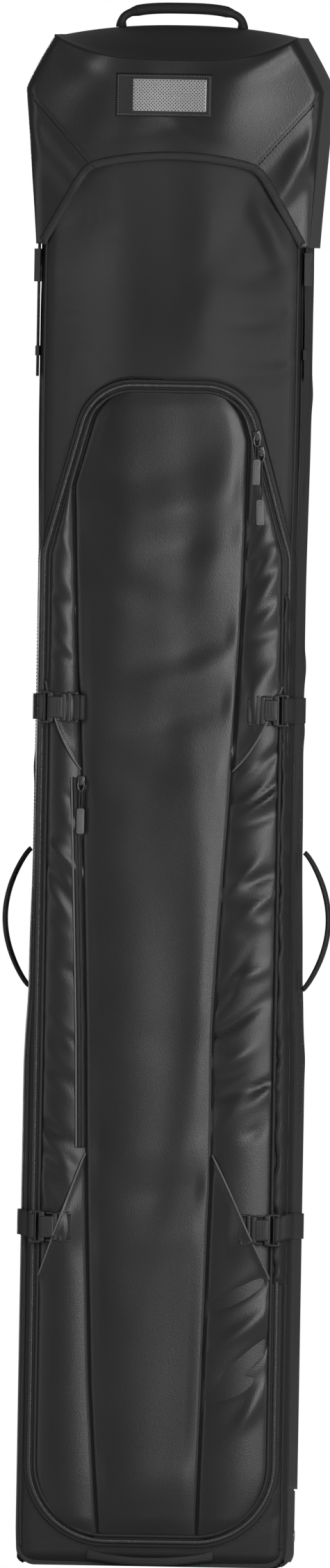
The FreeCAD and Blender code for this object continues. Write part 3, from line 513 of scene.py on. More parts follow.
def lid_half(z):
    """Half width of the lid at each height: a foot of large arcs, straight sides, a narrowed top."""
    z = np.asarray(z, float)
    slope = (LID_HALF - LID_TOP_HALF) / (LID_TOP - LID_SHOULDER)
    lean = math.hypot(1, slope)
    foot_rise = np.clip(LID_FOOT + FOOT_ROUND - z, 0, FOOT_ROUND)
    foot = LID_HALF - FOOT_ROUND + np.sqrt(FOOT_ROUND ** 2 - foot_rise ** 2)
    straight = LID_HALF - slope * np.clip(z - LID_SHOULDER, 0, None)
    arc_z = LID_TOP - CROWN_ROUND
    arc_x = LID_HALF - slope * (arc_z - LID_SHOULDER) - CROWN_ROUND * lean
    tangent = arc_z + CROWN_ROUND * slope / lean
    arc = arc_x + np.sqrt(np.clip(CROWN_ROUND ** 2 - (z - arc_z) ** 2, 0, None))
    return np.minimum(foot, np.where(z > tangent, arc, straight))


SEAM_Z = [0.03, 0.12, 0.22, 0.40, 0.50, 0.65, 0.77, 0.97, 1.10, 1.19, 1.37, 1.44]
SEAM_REACH = {
    -1: [0.0635, 0.0700, 0.0765, 0.0830, 0.0860, 0.0890, 0.0930, 0.1000, 0.1070, 0.1100, 0.1160, 0.1180],
    1: [0.0560, 0.0585, 0.0610, 0.0650, 0.0680, 0.0670, 0.0730, 0.0850, 0.0910, 0.0950, 0.0980, 0.0990],
}
SEAM_TO_ZIP = 0.012


def seam_x(side, z):
    """Where the seam beside the centre panel runs, on the left (-1) or right (1)."""
    return side * np.minimum(np.interp(z, SEAM_Z, SEAM_REACH[side]), lid_half(z) - SEAM_TO_ZIP)


def folds(x, z, marks):
    """Soft ridges in the cloth: each mark is (x, z, degrees, length, width, height).

    A ridge is a bell along its line times a bell across it, and the line bends a little.
    """
    relief = np.zeros(np.broadcast(x, z).shape)
    for mx, mz, degrees, length, width, height in marks:
        c, s = math.cos(math.radians(degrees)), math.sin(math.radians(degrees))
        along = (x - mx) * c + (z - mz) * s
        across = -(x - mx) * s + (z - mz) * c
        bend = 0.10 * along ** 2 / length
        relief += height * bell(along, length) * bell(across - bend, width)
    return relief


def scattered_folds(count, *ranges):
    """Chance folds from the one seeded source: a range for each value of a mark, either sign."""
    signs = rng.choice([-1, 1], count)
    drawn = [rng.uniform(low, high, count) for low, high in ranges]
    drawn[-1] = drawn[-1] * signs
    return list(zip(*drawn))


RIGHT_FOLDS = scattered_folds(34, (0.075, 0.145), (0.50, 1.0), (18, 48), (0.016, 0.045),
                              (0.004, 0.010), (0.0014, 0.0042))
LEFT_FOLDS = scattered_folds(26, (-0.145, -0.095), (0.42, 1.0), (120, 160), (0.014, 0.035),
                             (0.004, 0.010), (0.0008, 0.0026))
WING_FOLDS = {
    ("upper", 1): scattered_folds(14, (0.095, 0.145), (1.05, 1.30), (20, 60), (0.02, 0.05),
                                  (0.006, 0.013), (0.001, 0.0026)),
    ("upper", -1): scattered_folds(12, (-0.145, -0.10), (1.05, 1.32), (110, 160), (0.02, 0.05),
                                   (0.006, 0.013), (0.0008, 0.002)),
    ("lower", 1): [(0.100, 0.330, 28, 0.055, 0.010, 0.0045), (0.112, 0.290, 36, 0.050, 0.010, -0.0035),
                   (0.118, 0.255, 40, 0.045, 0.010, 0.0045), (0.095, 0.215, 22, 0.045, 0.012, 0.0038),
                   (0.120, 0.190, 60, 0.030, 0.010, -0.003)],
    ("lower", -1): [],
}
BROAD_WAVES = [(-0.055, 1.22, 88, 0.26, 0.034, -0.0052), (0.030, 1.20, 88, 0.26, 0.026, 0.0034),
               (0.070, 1.30, 80, 0.16, 0.022, -0.0034), (-0.045, 0.66, 91, 0.30, 0.036, -0.0034),
               (0.020, 0.62, 90, 0.30, 0.030, 0.0028), (0.052, 0.70, 88, 0.30, 0.018, -0.0026),
               (-0.040, 0.24, 93, 0.18, 0.036, -0.0030), (0.030, 0.22, 87, 0.18, 0.030, 0.0026),
               (0.0, 0.10, 4, 0.12, 0.030, -0.0030), (0.05, 0.95, 24, 0.10, 0.030, -0.0030)]
WAVE_SHARE = 0.55
CENTRE_FOLDS = [(-0.02, 1.330, 12, 0.080, 0.022, 0.0030), (0.01, 1.285, 14, 0.085, 0.020, -0.0026),
                (0.03, 1.245, 16, 0.080, 0.022, 0.0026), (-0.05, 1.190, -24, 0.060, 0.020, 0.0022),
                (0.04, 1.120, 18, 0.075, 0.020, 0.0026), (0.02, 1.080, 20, 0.080, 0.018, -0.0022),
                (0.03, 1.035, 20, 0.075, 0.020, 0.0028), (-0.03, 0.960, -18, 0.070, 0.026, 0.0015),
                (0.0, 0.640, 8, 0.075, 0.026, 0.0016), (-0.01, 0.500, 6, 0.080, 0.020, -0.0018),
                (0.02, 0.455, 12, 0.070, 0.018, 0.0022), (0.0, 0.395, 10, 0.075, 0.020, -0.0015)]


def lid_surface(x, z):
    """The lid's padding: a sine puff between each seam and the zip, and one between the seams."""
    side_puff, centre_puff, end_run = 0.0065, 0.0045, 0.03
    edge = lid_half(z)
    puff = np.zeros(np.broadcast(x, z).shape)
    for side in SIDE_NAME:
        seam = np.abs(seam_x(side, z))
        share = np.clip((side * x - seam) / np.maximum(edge - seam, 0.008), 0, 1)
        puff += side_puff * np.sin(share * math.pi) ** 0.7 * (side * x > seam)
    middle = np.clip((x - seam_x(-1, z)) / (seam_x(1, z) - seam_x(-1, z)), 0, 1)
    puff += centre_puff * np.sin(middle * math.pi) ** 0.6
    ends = smooth(LID_FOOT, LID_FOOT + end_run, z) * (1 - smooth(LID_TOP - end_run, LID_TOP, z))
    return front_surface(x, z) - puff * ends


def on_lid(x, z, lift):
    """Points that stand lift in front of the lid's padding."""
    return np.stack([x, lid_surface(x, z) - lift, z], -1)


def edge_fade(x, z):
    """Folds die out at the lid's zip."""
    return smooth(0.0, 0.014, lid_half(z) - np.abs(x))


def lid_rows(count):
    """Heights from the lid's foot to its top, closer together in its rounded ends."""
    t = np.linspace(0, math.pi, count)
    even = np.linspace(0, 1, count)
    return LID_FOOT + (LID_TOP - LID_FOOT) * (0.55 * even + 0.45 * (1 - np.cos(t)) / 2)


def between(left, right, columns):
    """Points across each row, from a left limit to a right limit."""
    s = np.linspace(0, 1, columns)[None]
    return left[:, None] * (1 - s) + right[:, None] * s


CLOTH_TO_ZIP = 0.0045


def make_lid():
    """The lid's padded cloth: side panels under, and the centre panel over them.

    Both are the lid's surface plus folds. The side panels turn in at the zip by a bell of
    the distance from it, and sink under the centre panel, which turns in at its seams.
    """
    turn_in, sunk, seam_dip = 0.004, 0.009, 0.0022
    z = lid_rows(350)[:, None]
    edge = lid_half(z[:, 0]) - CLOTH_TO_ZIP
    x = between(-edge, edge, 130)
    creased = (folds(x, z, RIGHT_FOLDS) + folds(x, z, LEFT_FOLDS)) * edge_fade(x, z)
    y = lid_surface(x, z) + creased + turn_in * bell(edge[:, None] - np.abs(x), turn_in)
    y = y + sunk * smooth(0.004, 0.018, np.minimum(x - seam_x(-1, z), seam_x(1, z) - x))
    piece = cloth_piece("lid_side_cloth", x, y, z, 0.004, "lid", "coated_fabric", ["lid_panel"])

    z = np.linspace(LID_FOOT + 0.006, LID_TOP - CLOTH_TO_ZIP, 450)[:, None]
    x = between(seam_x(-1, z[:, 0]), seam_x(1, z[:, 0]), 80)
    rim = np.minimum(x - x[:, :1], x[:, -1:] - x)
    waved = folds(x, z, CENTRE_FOLDS) + WAVE_SHARE * folds(x, z, BROAD_WAVES)
    y = lid_surface(x, z) - LAYER + waved * smooth(0, 0.02, rim) + seam_dip * bell(rim, seam_dip)
    piece = cloth_piece("centre_cloth", x, y, z, 0.0016, "lid", "coated_fabric", ["centre_panel"])
    z = np.linspace(LID_FOOT + 0.008, LID_TOP - 0.008, 500)
    # Each centre seam gets a near-black tube: a painted shadow line along the seam's groove.
    for side, name in SIDE_NAME.items():
        path = on_lid(seam_x(side, z), z, 0.0002)
        tube_piece(f"centre_seam_shadow_line_{name}", path, 0.0011, "lid", "shadow_gap", sides=6)


UPPER_TIP, UPPER_SIDE = 0.968, 1.074
LOWER_TIP, LOWER_SIDE = 0.501, 0.343
PLUG_Z = {"upper": 1.043, "lower": 0.411}


def wing_diagonal(level, share):
    """Height of a wing's free edge between its tip at the seam and the lid's side."""
    if level == "upper":
        return UPPER_TIP + (UPPER_SIDE - UPPER_TIP) * (0.55 * share + 0.45 * share ** 2.2)
    return LOWER_TIP + (LOWER_SIDE - LOWER_TIP) * share ** 1.08


def make_wing(level, side):
    """A wing: sewn along the centre seam and the zip, free along its diagonal edge.

    Columns run from the seam to the zip, rows from the lid's end to the diagonal. It is the
    lid's surface with folds, raised by bells along its free edge and over the buckle's plug,
    and pinched in by bells at the seam and the zip.
    """
    free_rise, plug_rise, pinch, turn_in = 0.0016, 0.0075, 0.0022, 0.004
    share = np.linspace(0, 1, 70)[None]
    t = np.linspace(0, 1, 230)[:, None]
    free = wing_diagonal(level, share)
    end = LID_TOP - 0.004 if level == "upper" else LID_FOOT + 0.004
    z = end + (free - end) * (t ** 0.8)
    seam = np.abs(seam_x(side, z))
    outer = lid_half(z) - CLOTH_TO_ZIP
    start = np.minimum(seam, outer - 0.002)
    x = side * (start + (outer - start) * share)
    over_plug = smooth(0.085, 0.112, np.abs(x)) * bell(z - PLUG_Z[level], 0.032)
    lift = 0.0022 + free_rise * bell(np.abs(z - free), 0.012) + plug_rise * over_plug
    drawn_in = pinch * bell(np.abs(x) - seam, 0.0024) + turn_in * bell(outer - np.abs(x), turn_in)
    y = lid_surface(x, z) - lift + folds(x, z, WING_FOLDS[level, side]) * edge_fade(x, z) + drawn_in
    name = f"wing_{level}_{SIDE_NAME[side]}"
    piece = cloth_piece(f"{name}_cloth", x, y, z, 0.0018, "lid", "coated_fabric", [f"wings_{level}"])
    rim = np.stack([x[-1], y[-1] + 0.0006, z[-1]], 1)
    tube_piece(f"{name}_edge", rim, 0.0012, "lid", "pull_plastic", sides=6)
    sewn = -6
    line = np.stack([x[sewn], y[sewn] - 0.0002, z[sewn]], 1)
    stitches(f"{name}_stitching", line, "lid", "thread", 0.0034, 0.0022)


# ---- main zip --------------------------------------------------------------------------
def lid_path(inset, count):
    """The lid's outline moved inwards, at even steps, as (x, z)."""
    slope = math.atan2(LID_HALF - LID_TOP_HALF, LID_TOP - LID_SHOULDER)
    right = [
        (LID_HALF - inset, LID_FOOT + inset, FOOT_ROUND - inset),
        (LID_HALF - inset, LID_SHOULDER - math.tan(slope / 2) * inset, 0.06 - inset),
        (LID_TOP_HALF - math.tan(math.pi / 4 - slope / 2) * inset, LID_TOP - inset, CROWN_ROUND - inset),
    ]
    left = [(-x, z, radius) for x, z, radius in reversed(right)]
    return rounded_path(right + left, count)


def zip_tape(name, insets, lifts, body, replaced):
    """A strip between the lid's outline at two insets, raised evenly from one lift to the other."""
    inner, outer = (lid_path(inset, 900)[:, None] for inset in insets)
    s = np.linspace(0, 1, 7)[None, :, None]
    flat = inner * (1 - s) + outer * s
    x, z = flat[..., 0], flat[..., 1]
    y = front_surface(x, z) - (lifts[0] * (1 - s[..., 0]) + lifts[1] * s[..., 0])
    cloth_piece(name, x, y, z, 0.0008, body, "zip_tape", replaced, wrap_u=True)


def make_main_zip():
    """Tape on both sides of a coil round the lid; the coil's radius swells once each turn."""
    coil_lift, coil_radius, swell = 0.0026, 0.0026, 0.0006
    zip_tape("zip_tape_lid", (TAPE, 0.0), (0.0018, 0.0024), "lid", ["main_zip_lid_side"])
    zip_tape("zip_tape_body", (0.0, -TAPE), (0.0024, 0.0012), "root", ["main_zip_body_side"])
    turns, per_turn = 1450, 4
    wave = 0.5 - 0.5 * np.cos(np.arange(turns * per_turn) * 2 * math.pi / per_turn)
    path = on_front(*lid_path(0.0, turns * per_turn).T, coil_lift)
    tube_piece("zip_coil", path, coil_radius + swell * wave, "lid", "zip_coil",
               sides=6, closed=True, flat=0.62)
    path = on_front(*lid_path(0.0068, 1500).T, 0.0035)
    tube_piece("lid_piping", path, 0.0022, "lid", "webbing", closed=True)
    path = on_front(*lid_path(-0.0085, 1200).T, 0.0012)
    stitches("zip_stitching_body", path, "root", "thread")


# ---- the body shell --------------------------------------------------------------------
CREASES = [(0.045, 1.56, 86, 0.16, 0.034, -0.0092), (-0.060, 1.55, 92, 0.16, 0.040, 0.0064),
           (0.118, 1.63, 118, 0.040, 0.013, -0.0084), (0.105, 1.515, 8, 0.045, 0.008, 0.0030),
           (0.115, 1.455, 5, 0.045, 0.008, 0.0034), (0.100, 1.545, -6, 0.040, 0.010, -0.0022),
           (0.060, 1.600, 60, 0.060, 0.022, 0.0022), (0.085, 1.660, 75, 0.050, 0.015, 0.0025),
           (-0.06, 1.56, -30, 0.06, 0.03, 0.0012), (0.03, 1.48, 88, 0.09, 0.03, 0.0022),
           (0.120, 1.580, 20, 0.030, 0.008, 0.0022), (0.140, 0.110, 30, 0.030, 0.006, 0.0022),
           (0.135, 0.080, 25, 0.035, 0.006, -0.0018), (-0.150, 0.130, 70, 0.040, 0.010, 0.0016),
           (0.150, 0.060, 50, 0.020, 0.006, 0.0018)]


def body_front(x, z):
    """The fixed front cloth, with its creases, tucked back where the hood's cheeks pass over it."""
    lower_rim = 0.008 * (1 - smooth(0.0, 0.020, z)) ** 2
    under_hood = 0.0062 * smooth(0.070, 0.128, np.abs(x)) * smooth(1.575, 1.640, z)
    return front_surface(x, z) + folds(x, z, CREASES) + lower_rim + under_hood


def make_front_cloth():
    """The black cloth round the lid: columns go from the zip out to the bag's long edge.

    Rows above the lid's shoulder fan out to the top of the body, those in its foot to the
    bottom, and each row is a straight line between the two, laid on the body's front.
    """
    foot_end, fan_start = LID_FOOT + 0.6 * FOOT_ROUND, LID_SHOULDER + 0.14
    hem, top = 0.004, BODY_TOP + 0.09
    path = lid_path(-0.006, 1100)
    path = np.roll(path, -int(np.argmin(np.abs(path[:, 0]) + path[:, 1])), 0)
    x, z = path[:, 0], path[:, 1]
    far_z = np.interp(z, [0.0, foot_end, 0.30, 1.10, fan_start, 2.0], [hem, hem, 0.30, 1.10, top, top])
    low_share = np.clip(np.abs(x) / (LID_HALF - 0.45 * FOOT_ROUND), 0, 1)
    high_share = np.clip(np.abs(x) / (LID_HALF - 0.035), 0, 1)
    share = np.where(z < 0.3, low_share, np.where(z > 1.1, high_share, 1))
    share = np.where((z >= foot_end) & (z < fan_start), 1, share)
    far_x = np.sign(x) * (half_width(z) - 0.0005) * share
    far_x[np.abs(x) < 1e-9] = 0
    s = np.linspace(0, 1, 40)[None, :, None]
    flat = path[:, None] * (1 - s) + np.stack([far_x, far_z], 1)[:, None] * s
    z = flat[..., 1]
    limit = half_width(z) - 0.0002
    x = np.clip(flat[..., 0], -limit, limit)
    piece = cloth_piece("front_cloth", x, body_front(x, z), z, 0.003, "root", "body_fabric",
                        ["lid_surround", "front_upper_panel"], wrap_u=True)


def side_bulge(y):
    """The side cloth bows out a little between its front and back edges, by half a sine."""
    front_end, back_end = FRONT + EDGE_ROUND, BACK - 0.023
    return 0.0010 * np.sin(np.clip((y - front_end) / (back_end - front_end), 0, 1) * math.pi)


SIDE_FOLDS = scattered_folds(16, (-0.08, 0.08), (0.2, 1.55), (-60, 60), (0.03, 0.09), (0.008, 0.02),
                             (0.0008, 0.002))


def make_side_and_back_cloth():
    """Sides and back as one sheet: from the front edge, round both back corners, to the other.

    Each row is a side that bows out and carries folds, a quarter circle, a back that stands
    out by a parabola, and the same again mirrored. Piping and stitching follow the back.
    """
    corner, back_bow, rear = 0.022, 0.004, BACK - 0.001
    z = np.linspace(0.097, BODY_TOP, 280)[:, None]
    width = half_width(z)
    run = np.linspace(FRONT + EDGE_ROUND, rear - corner, 40)[None]
    arc = np.linspace(0, math.pi / 2, 12)[None, 1:-1]
    back_run = np.linspace(1, -1, 70)[None]
    away_from_trim = smooth(0.016, 0.030, np.abs(run))
    x_side = width + side_bulge(run) - folds(run, z, SIDE_FOLDS) * away_from_trim
    x_arc = width - corner + corner * np.cos(arc)
    y_arc = rear - corner + corner * np.sin(arc)
    y_back = rear + back_bow * (1 - back_run ** 2)
    x = np.hstack([x_side, x_arc, back_run * (width - corner), -x_arc[:, ::-1], -x_side[:, ::-1]])
    y = np.hstack([run, y_arc, y_back, y_arc[:, ::-1], run[:, ::-1]])
    piece = cloth_piece("side_and_back_cloth", x, y, z, 0.004, "root", "body_fabric",
                        ["side_gusset_left", "side_gusset_right", "back_panel"], facing=None)
    row_x = half_width(0.6) - 0.030
    row_y = BACK + 0.0032 * (1 - (row_x / 0.145) ** 2)
    z = np.linspace(0.10, BODY_TOP, 260)
    foot_y = np.linspace(FRONT + EDGE_ROUND - 0.0005, 0.018, 40)[None]
    foot_z = np.linspace(0.003, 0.100, 26)[:, None]
    for side, name in SIDE_NAME.items():
        path = np.stack([side * (half_width(z) - 0.006), np.full_like(z, BACK - 0.0065), z], 1)
        tube_piece(f"back_piping_{name}", path, 0.0026, "root", "webbing")
        path = np.stack([np.full_like(z, side * row_x), np.full_like(z, row_y), z], 1)
        stitches(f"back_stitching_{name}", path, "root", "thread", outwards=(0, 1, 0))
        cloth_piece(f"foot_cloth_front_{name}", side * half_width(foot_z), foot_y, foot_z, 0.003,
                    "root", "body_fabric", facing=(side, 0, 0))


# ---- the hood --------------------------------------------------------------------------
HOOD_TIP, HOOD_WIDE, HOOD_FRONT_Y = HOOD_LOW.z, HOOD_HIGH.x, HOOD_LOW.y
HOOD_TIP_HALF, HOOD_WIDE_Z = 0.1665, 1.795
HOOD_SHOULDER, HOOD_SHOULDER_Z = 0.148, 1.860
HOOD_CROWN_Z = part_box("hood_top")[1].z
HOOD_BACK_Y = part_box("hood_back")[1].y


def arch_height(x):
    """Lower edge of the hood's front: a flat crown and two slopes, blended where they meet."""
    blend = 0.006
    x = np.abs(x)
    crown = 1.711 - 0.013 * (x / 0.10) ** 2
    fall = 1.697 - (x - 0.103) * 1.76
    return np.maximum(HOOD_TIP, -blend * np.log(np.exp(-crown / blend) + np.exp(-fall / blend)))


def roof_height(x, y):
    """The hood's roof: a ridge plateau that falls to the front edge, least at the corners."""
    across = np.clip(np.abs(x) / HOOD_SHOULDER, 0, 1)
    ridge = HOOD_CROWN_Z - 0.015 * across ** 2.2
    front_drop = 0.044 * (1 - across ** 2.6)
    front_share = np.clip((-y - 0.020) / (-HOOD_FRONT_Y - 0.020), 0, 1)
    back_share = np.clip((y - 0.060) / (HOOD_BACK_Y - 0.060), 0, 1)
    return ridge - front_drop * front_share ** 1.35 - 0.020 * (1 - across ** 2.6) * back_share ** 1.8


def hood_half_width(z):
    """Half width of the hood's wall: widening to its middle line, then drawn in to the corners."""
    rise = np.clip((z - HOOD_TIP) / (HOOD_WIDE_Z - HOOD_TIP), 0, 1)
    share = np.clip((z - HOOD_WIDE_Z) / (HOOD_SHOULDER_Z - HOOD_WIDE_Z), 0, 1)
    low = HOOD_TIP_HALF + (HOOD_WIDE - HOOD_TIP_HALF) * rise ** 1.1
    return low - (HOOD_WIDE - HOOD_SHOULDER) * share ** 1.15


def rectangle_ring(face, corner):
    """Unit directions round a rounded rectangle: straight position and corner direction."""
    ring = []
    line = np.linspace(-1, 1, face, endpoint=False)
    turn = np.linspace(0, math.pi / 2, corner, endpoint=False)
    for nx, ny in ((1, 0), (0, 1), (-1, 0), (0, -1)):
        tx, ty = -ny, nx
        ring.append(np.stack([nx + tx * line, ny + ty * line, np.full(face, nx), np.full(face, ny)]))
        ring.append(np.stack([np.full(corner, nx + tx), np.full(corner, ny + ty),
                              nx * np.cos(turn) + tx * np.sin(turn),
                              ny * np.cos(turn) + ty * np.sin(turn)]))
    return np.hstack(ring).astype(float)


SEAM_TOP = np.array([0.181, 1.792])
SEAM_FOOT = np.array([0.104, 1.706])
HOOD_FOLDS = [(0.075, 1.775, 62, 0.085, 0.040, -0.0050), (-0.105, 1.790, 64, 0.060, 0.034, 0.0040),
              (0.005, 1.750, 84, 0.050, 0.040, 0.0020), (0.120, 1.835, 32, 0.050, 0.012, -0.0030),
              (-0.122, 1.835, -40, 0.040, 0.014, -0.0030), (0.150, 1.690, 58, 0.060, 0.011, -0.0046),
              (0.06, 1.790, 60, 0.06, 0.03, -0.0025), (-0.10, 1.83, 50, 0.04, 0.016, -0.0022),
              (-0.03, 1.745, 10, 0.06, 0.012, 0.0016), (0.02, 1.745, -30, 0.03, 0.010, 0.0016),
              (-0.06, 1.78, 80, 0.05, 0.02, 0.0018), (0.145, 1.70, 70, 0.04, 0.012, -0.002)]


def hood_front(x, z):
    """The hood's front face: bowed and puffed over its middle, turned away past the corner seams.

    The distance past a seam is measured square to it. The cloth steps back there with a
    slope, a groove lies on the seam, and a cheek swells beyond it.
    """
    direction = (SEAM_FOOT - SEAM_TOP) / np.linalg.norm(SEAM_FOOT - SEAM_TOP)
    away = (z - SEAM_TOP[1]) * direction[0] - (np.abs(x) - SEAM_TOP[0]) * direction[1]
    past = np.clip(away, 0, None)
    bow = 0.0075 * np.clip(1 - (x / 0.175) ** 2, 0, 1)
    puff = 0.0045 * np.sin(np.clip((z - 1.69) / 0.16, 0, 1) * math.pi)
    turned = 0.0035 * (1 - np.exp(-past / 0.007)) + 0.075 * past
    groove = 0.0016 * bell(away, 0.0022)
    cheek = 0.0035 * bell(past - 0.030, 0.016) * (past > 0)
    return HOOD_FRONT_Y - puff - bow + turned + groove - cheek + folds(x, z, HOOD_FOLDS)


def on_hood(x, z, lift):
    """Points that stand lift in front of the hood's front face."""
    return np.stack([x, hood_front(x, z) - lift, z], -1)


def make_hood():
    """The hood: a wall that rises from the arched edge to the roof's rim, then the roof itself.

    Rings are rounded rectangles as wide as the wall at their height; the roof's rings shrink
    to the ridge, and its front side is moved on to the hood's front face.
    """
    cx, cy, ox, oy = rectangle_ring(104, 10)
    radius, back_bow = 0.014, 0.004
    mid_y = (HOOD_FRONT_Y + HOOD_BACK_Y) / 2
    deep = (HOOD_BACK_Y - HOOD_FRONT_Y) / 2
    ring_y = mid_y + cy * (deep - radius) + oy * radius
    rim_x = cx * (HOOD_SHOULDER - radius) + ox * radius
    rim_z = roof_height(rim_x, ring_y)
    start_x = cx * (HOOD_TIP_HALF - radius) + ox * radius
    low_z = np.where(oy < -0.02, arch_height(start_x), HOOD_TIP)
    z = low_z + (rim_z - low_z) * np.linspace(0, 1, 92)[:, None]
    x = cx * (hood_half_width(z) - radius) + ox * radius
    front, back = np.clip(-oy, 0, 1), np.clip(oy, 0, 1)
    y = ring_y + front * (hood_front(x, z) - HOOD_FRONT_Y) - back * back_bow * (1 - cx ** 2)
    s = np.linspace(0, 1, 34)[1:, None]
    roof_x = rim_x * (1 - 0.30 * s)
    roof_y = mid_y + (y[-1] - mid_y) * (1 - s)
    roof_z = roof_height(roof_x, roof_y) - 0.0015 * smooth(0, 0.2, s)
    x, y, z = np.vstack([x, roof_x]), np.vstack([y, roof_y]), np.vstack([z, roof_z])
    piece = cloth_piece("hood_cloth", x, y, z, 0.003, "hood", "coated_fabric",
                        ["hood_front", "hood_back", "hood_top", "hood_side_left", "hood_side_right"],
                        facing=None, wrap_v=True)


def make_hood_seams():
    """The hood's two corner seams, each a near-black tube of painted shadow in its groove, with their
    stitching, and the binding along its arch.
    """
    t = np.linspace(0.0, 1, 60)
    for side, name in SIDE_NAME.items():
        x = side * (SEAM_TOP[0] + (SEAM_FOOT[0] - SEAM_TOP[0]) * t)
        z = SEAM_TOP[1] + (SEAM_FOOT[1] - SEAM_TOP[1]) * t
        keep = np.abs(x) < hood_half_width(z) - 0.010
        x, z = x[keep], z[keep]
        # The seam tube is a painted shadow line along the groove, not the cloth's own colour.
        tube_piece(f"hood_seam_{name}", on_hood(x, z, -0.0004), 0.0010, "hood", "shadow_gap", sides=6)
        stitches(f"hood_seam_stitching_{name}", on_hood(x, z + 0.0050, 0.0002), "hood", "thread",
                 pitch=0.0036, length=0.0024)
    x = np.linspace(-0.158, 0.158, 420)
    edge = resample(np.stack([x, arch_height(x)], 1), 420)
    step = np.gradient(edge, axis=0)
    step /= np.linalg.norm(step, axis=1, keepdims=True)
    normal = np.stack([-step[:, 1], step[:, 0]], 1)
    flat = edge[:, None] + normal[:, None] * np.linspace(-0.0008, 0.0095, 7)[None, :, None]
    x, z = flat[..., 0], flat[..., 1]
    lift = 0.0010 + 0.0010 * np.sin(np.linspace(0, 1, 7) * math.pi)[None]
    cloth_piece("hood_binding_cloth", x, hood_front(x, z) - lift, z, 0.0016, "hood", "webbing",
                ["hood_binding"])
    row = edge + normal * 0.0072
    stitches("hood_binding_stitching", on_hood(*row.T, 0.0019), "hood", "thread", 0.0032, 0.0022)


def label_strip(name, node, lift, finish):
    """A flat piece sewn on the hood's front in a node's place, its rim pressed down."""
    low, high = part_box(node)
    x, z = np.linspace(low.x, high.x, 50)[:, None], np.linspace(low.z, high.z, 26)[None]
    rim = np.minimum(np.minimum(x - low.x, high.x - x), np.minimum(z - low.z, high.z - z))
    y = hood_front(x, z) - lift * smooth(-0.001, 0.0022, rim)
    cloth_piece(name, x, y, z, 0.0012, "hood", finish, [node])


def make_label():
    """The label on the hood: a stitched backing, a pale window and its staggered dots."""
    low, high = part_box("label_window")
    label_strip("label_backing", "label_frame", 0.0016, "webbing")
    label_strip("label_face", "label_window", 0.0024, "label_mesh")
    pitch, dot = 0.0042, 0.00085
    spots = []
    for row in range(int((high.z - low.z) / (pitch * 0.5)) - 1):
        z = low.z + 0.0022 + row * pitch * 0.5
        start = low.x + 0.0026 + (pitch / 2 if row % 2 else 0)
        spots += [(x, z) for x in np.arange(start, high.x - 0.0018, pitch)]
    spots = np.array(spots)
    spots = spots[spots[:, 1] < high.z - 0.0015]
    angle = np.linspace(0, 2 * math.pi, 9)[:-1]
    ring = np.stack([np.cos(angle) * dot, np.zeros(8), np.sin(angle) * dot], 1)
    template = (np.vstack([ring + [0, 0.0006, 0], ring * 0.8 + [0, -0.0001, 0]]),
                [[i, (i + 1) % 8, 8 + (i + 1) % 8, 8 + i] for i in range(8)]
                + [[8, 9, 10, 11], [8, 11, 12, 15], [12, 13, 14, 15]])
    places = on_hood(*spots.T, 0.0026)
    axes = np.broadcast_to(np.eye(3), (len(places), 3, 3))
    finished(copies_piece("label_dots", template, places, axes), "hood", "webbing")
    inset = 0.0030
    low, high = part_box("label_frame")
    left, right, foot, top = low.x + inset, high.x - inset, low.z + inset, high.z - inset
    line = resample(np.array([(left, foot), (right, foot), (right, top), (left, top), (left, foot)]), 300)
    stitches("label_stitching", on_hood(*line.T, 0.0018), "hood", "pale_thread", 0.0030, 0.0018, 0.0009)


def make_top_handle():
    """A rolled webbing handle: flat feet, a bend at each end and a slightly arched tube.

    Its line is half a circle pressed square: x and height are powers of cosine and sine.
    """
    low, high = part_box("top_handle")
    half, rise, foot = 0.074, high.z - 0.0066, low.z - 0.004
    square, sleeve_end, upwards = 0.62, 0.66, (0, 0, 1)
    turn = np.linspace(0, math.pi, 121)
    t = -np.cos(turn)
    x = half * np.sign(t) * np.abs(t) ** square
    z = foot + (rise - foot) * np.sin(turn) ** square - 0.0012 * (x / half) ** 2
    path = resample(np.stack([x, 0 * x, z], 1), 121)
    reach = np.abs(np.linspace(-1, 1, 121))
    core = 0.0050 + 0.0012 * smooth(0.74, sleeve_end, reach) + 0.0016 * smooth(0.88, 1.0, reach)
    tube_piece("top_handle_roll", path, core, "top_handle", "webbing", sides=20, up=upwards,
               replaced=["top_handle"])
    inner = reach < sleeve_end
    sleeve = tube_piece("top_handle_sleeve", path[inner], core[inner] + 0.0006, "top_handle",
                        "grip_fabric", sides=24, up=upwards, replaced=["top_handle_grip"])


# ---- hardware --------------------------------------------------------------------------
PLUG_IN, PLUG_OUT = 0.1035, 0.1176
SOCKET_IN, SOCKET_OUT = 0.1180, 0.1400
BAR_OUT = 0.1530
WEB_HALF = 0.016


def buckle_face(level_z):
    """The plane that a buckle lies on, just over the lid's side cloth."""
    x = np.linspace(0.110, 0.148, 12)
    return float(lid_surface(x, np.full_like(x, level_z)).min()) - 0.0010


def webbing_band(name, line, count, side, z, wall, body, facing, replaced=()):
    """Flat webbing along a line (x, y) seen from above, spread over the heights z gives."""
    line = resample(np.array(line), count)
    x = side * line[:, :1]
    cloth_piece(name, x, line[:, 1:], z(x), wall, body, "webbing", replaced, facing, offset=0)


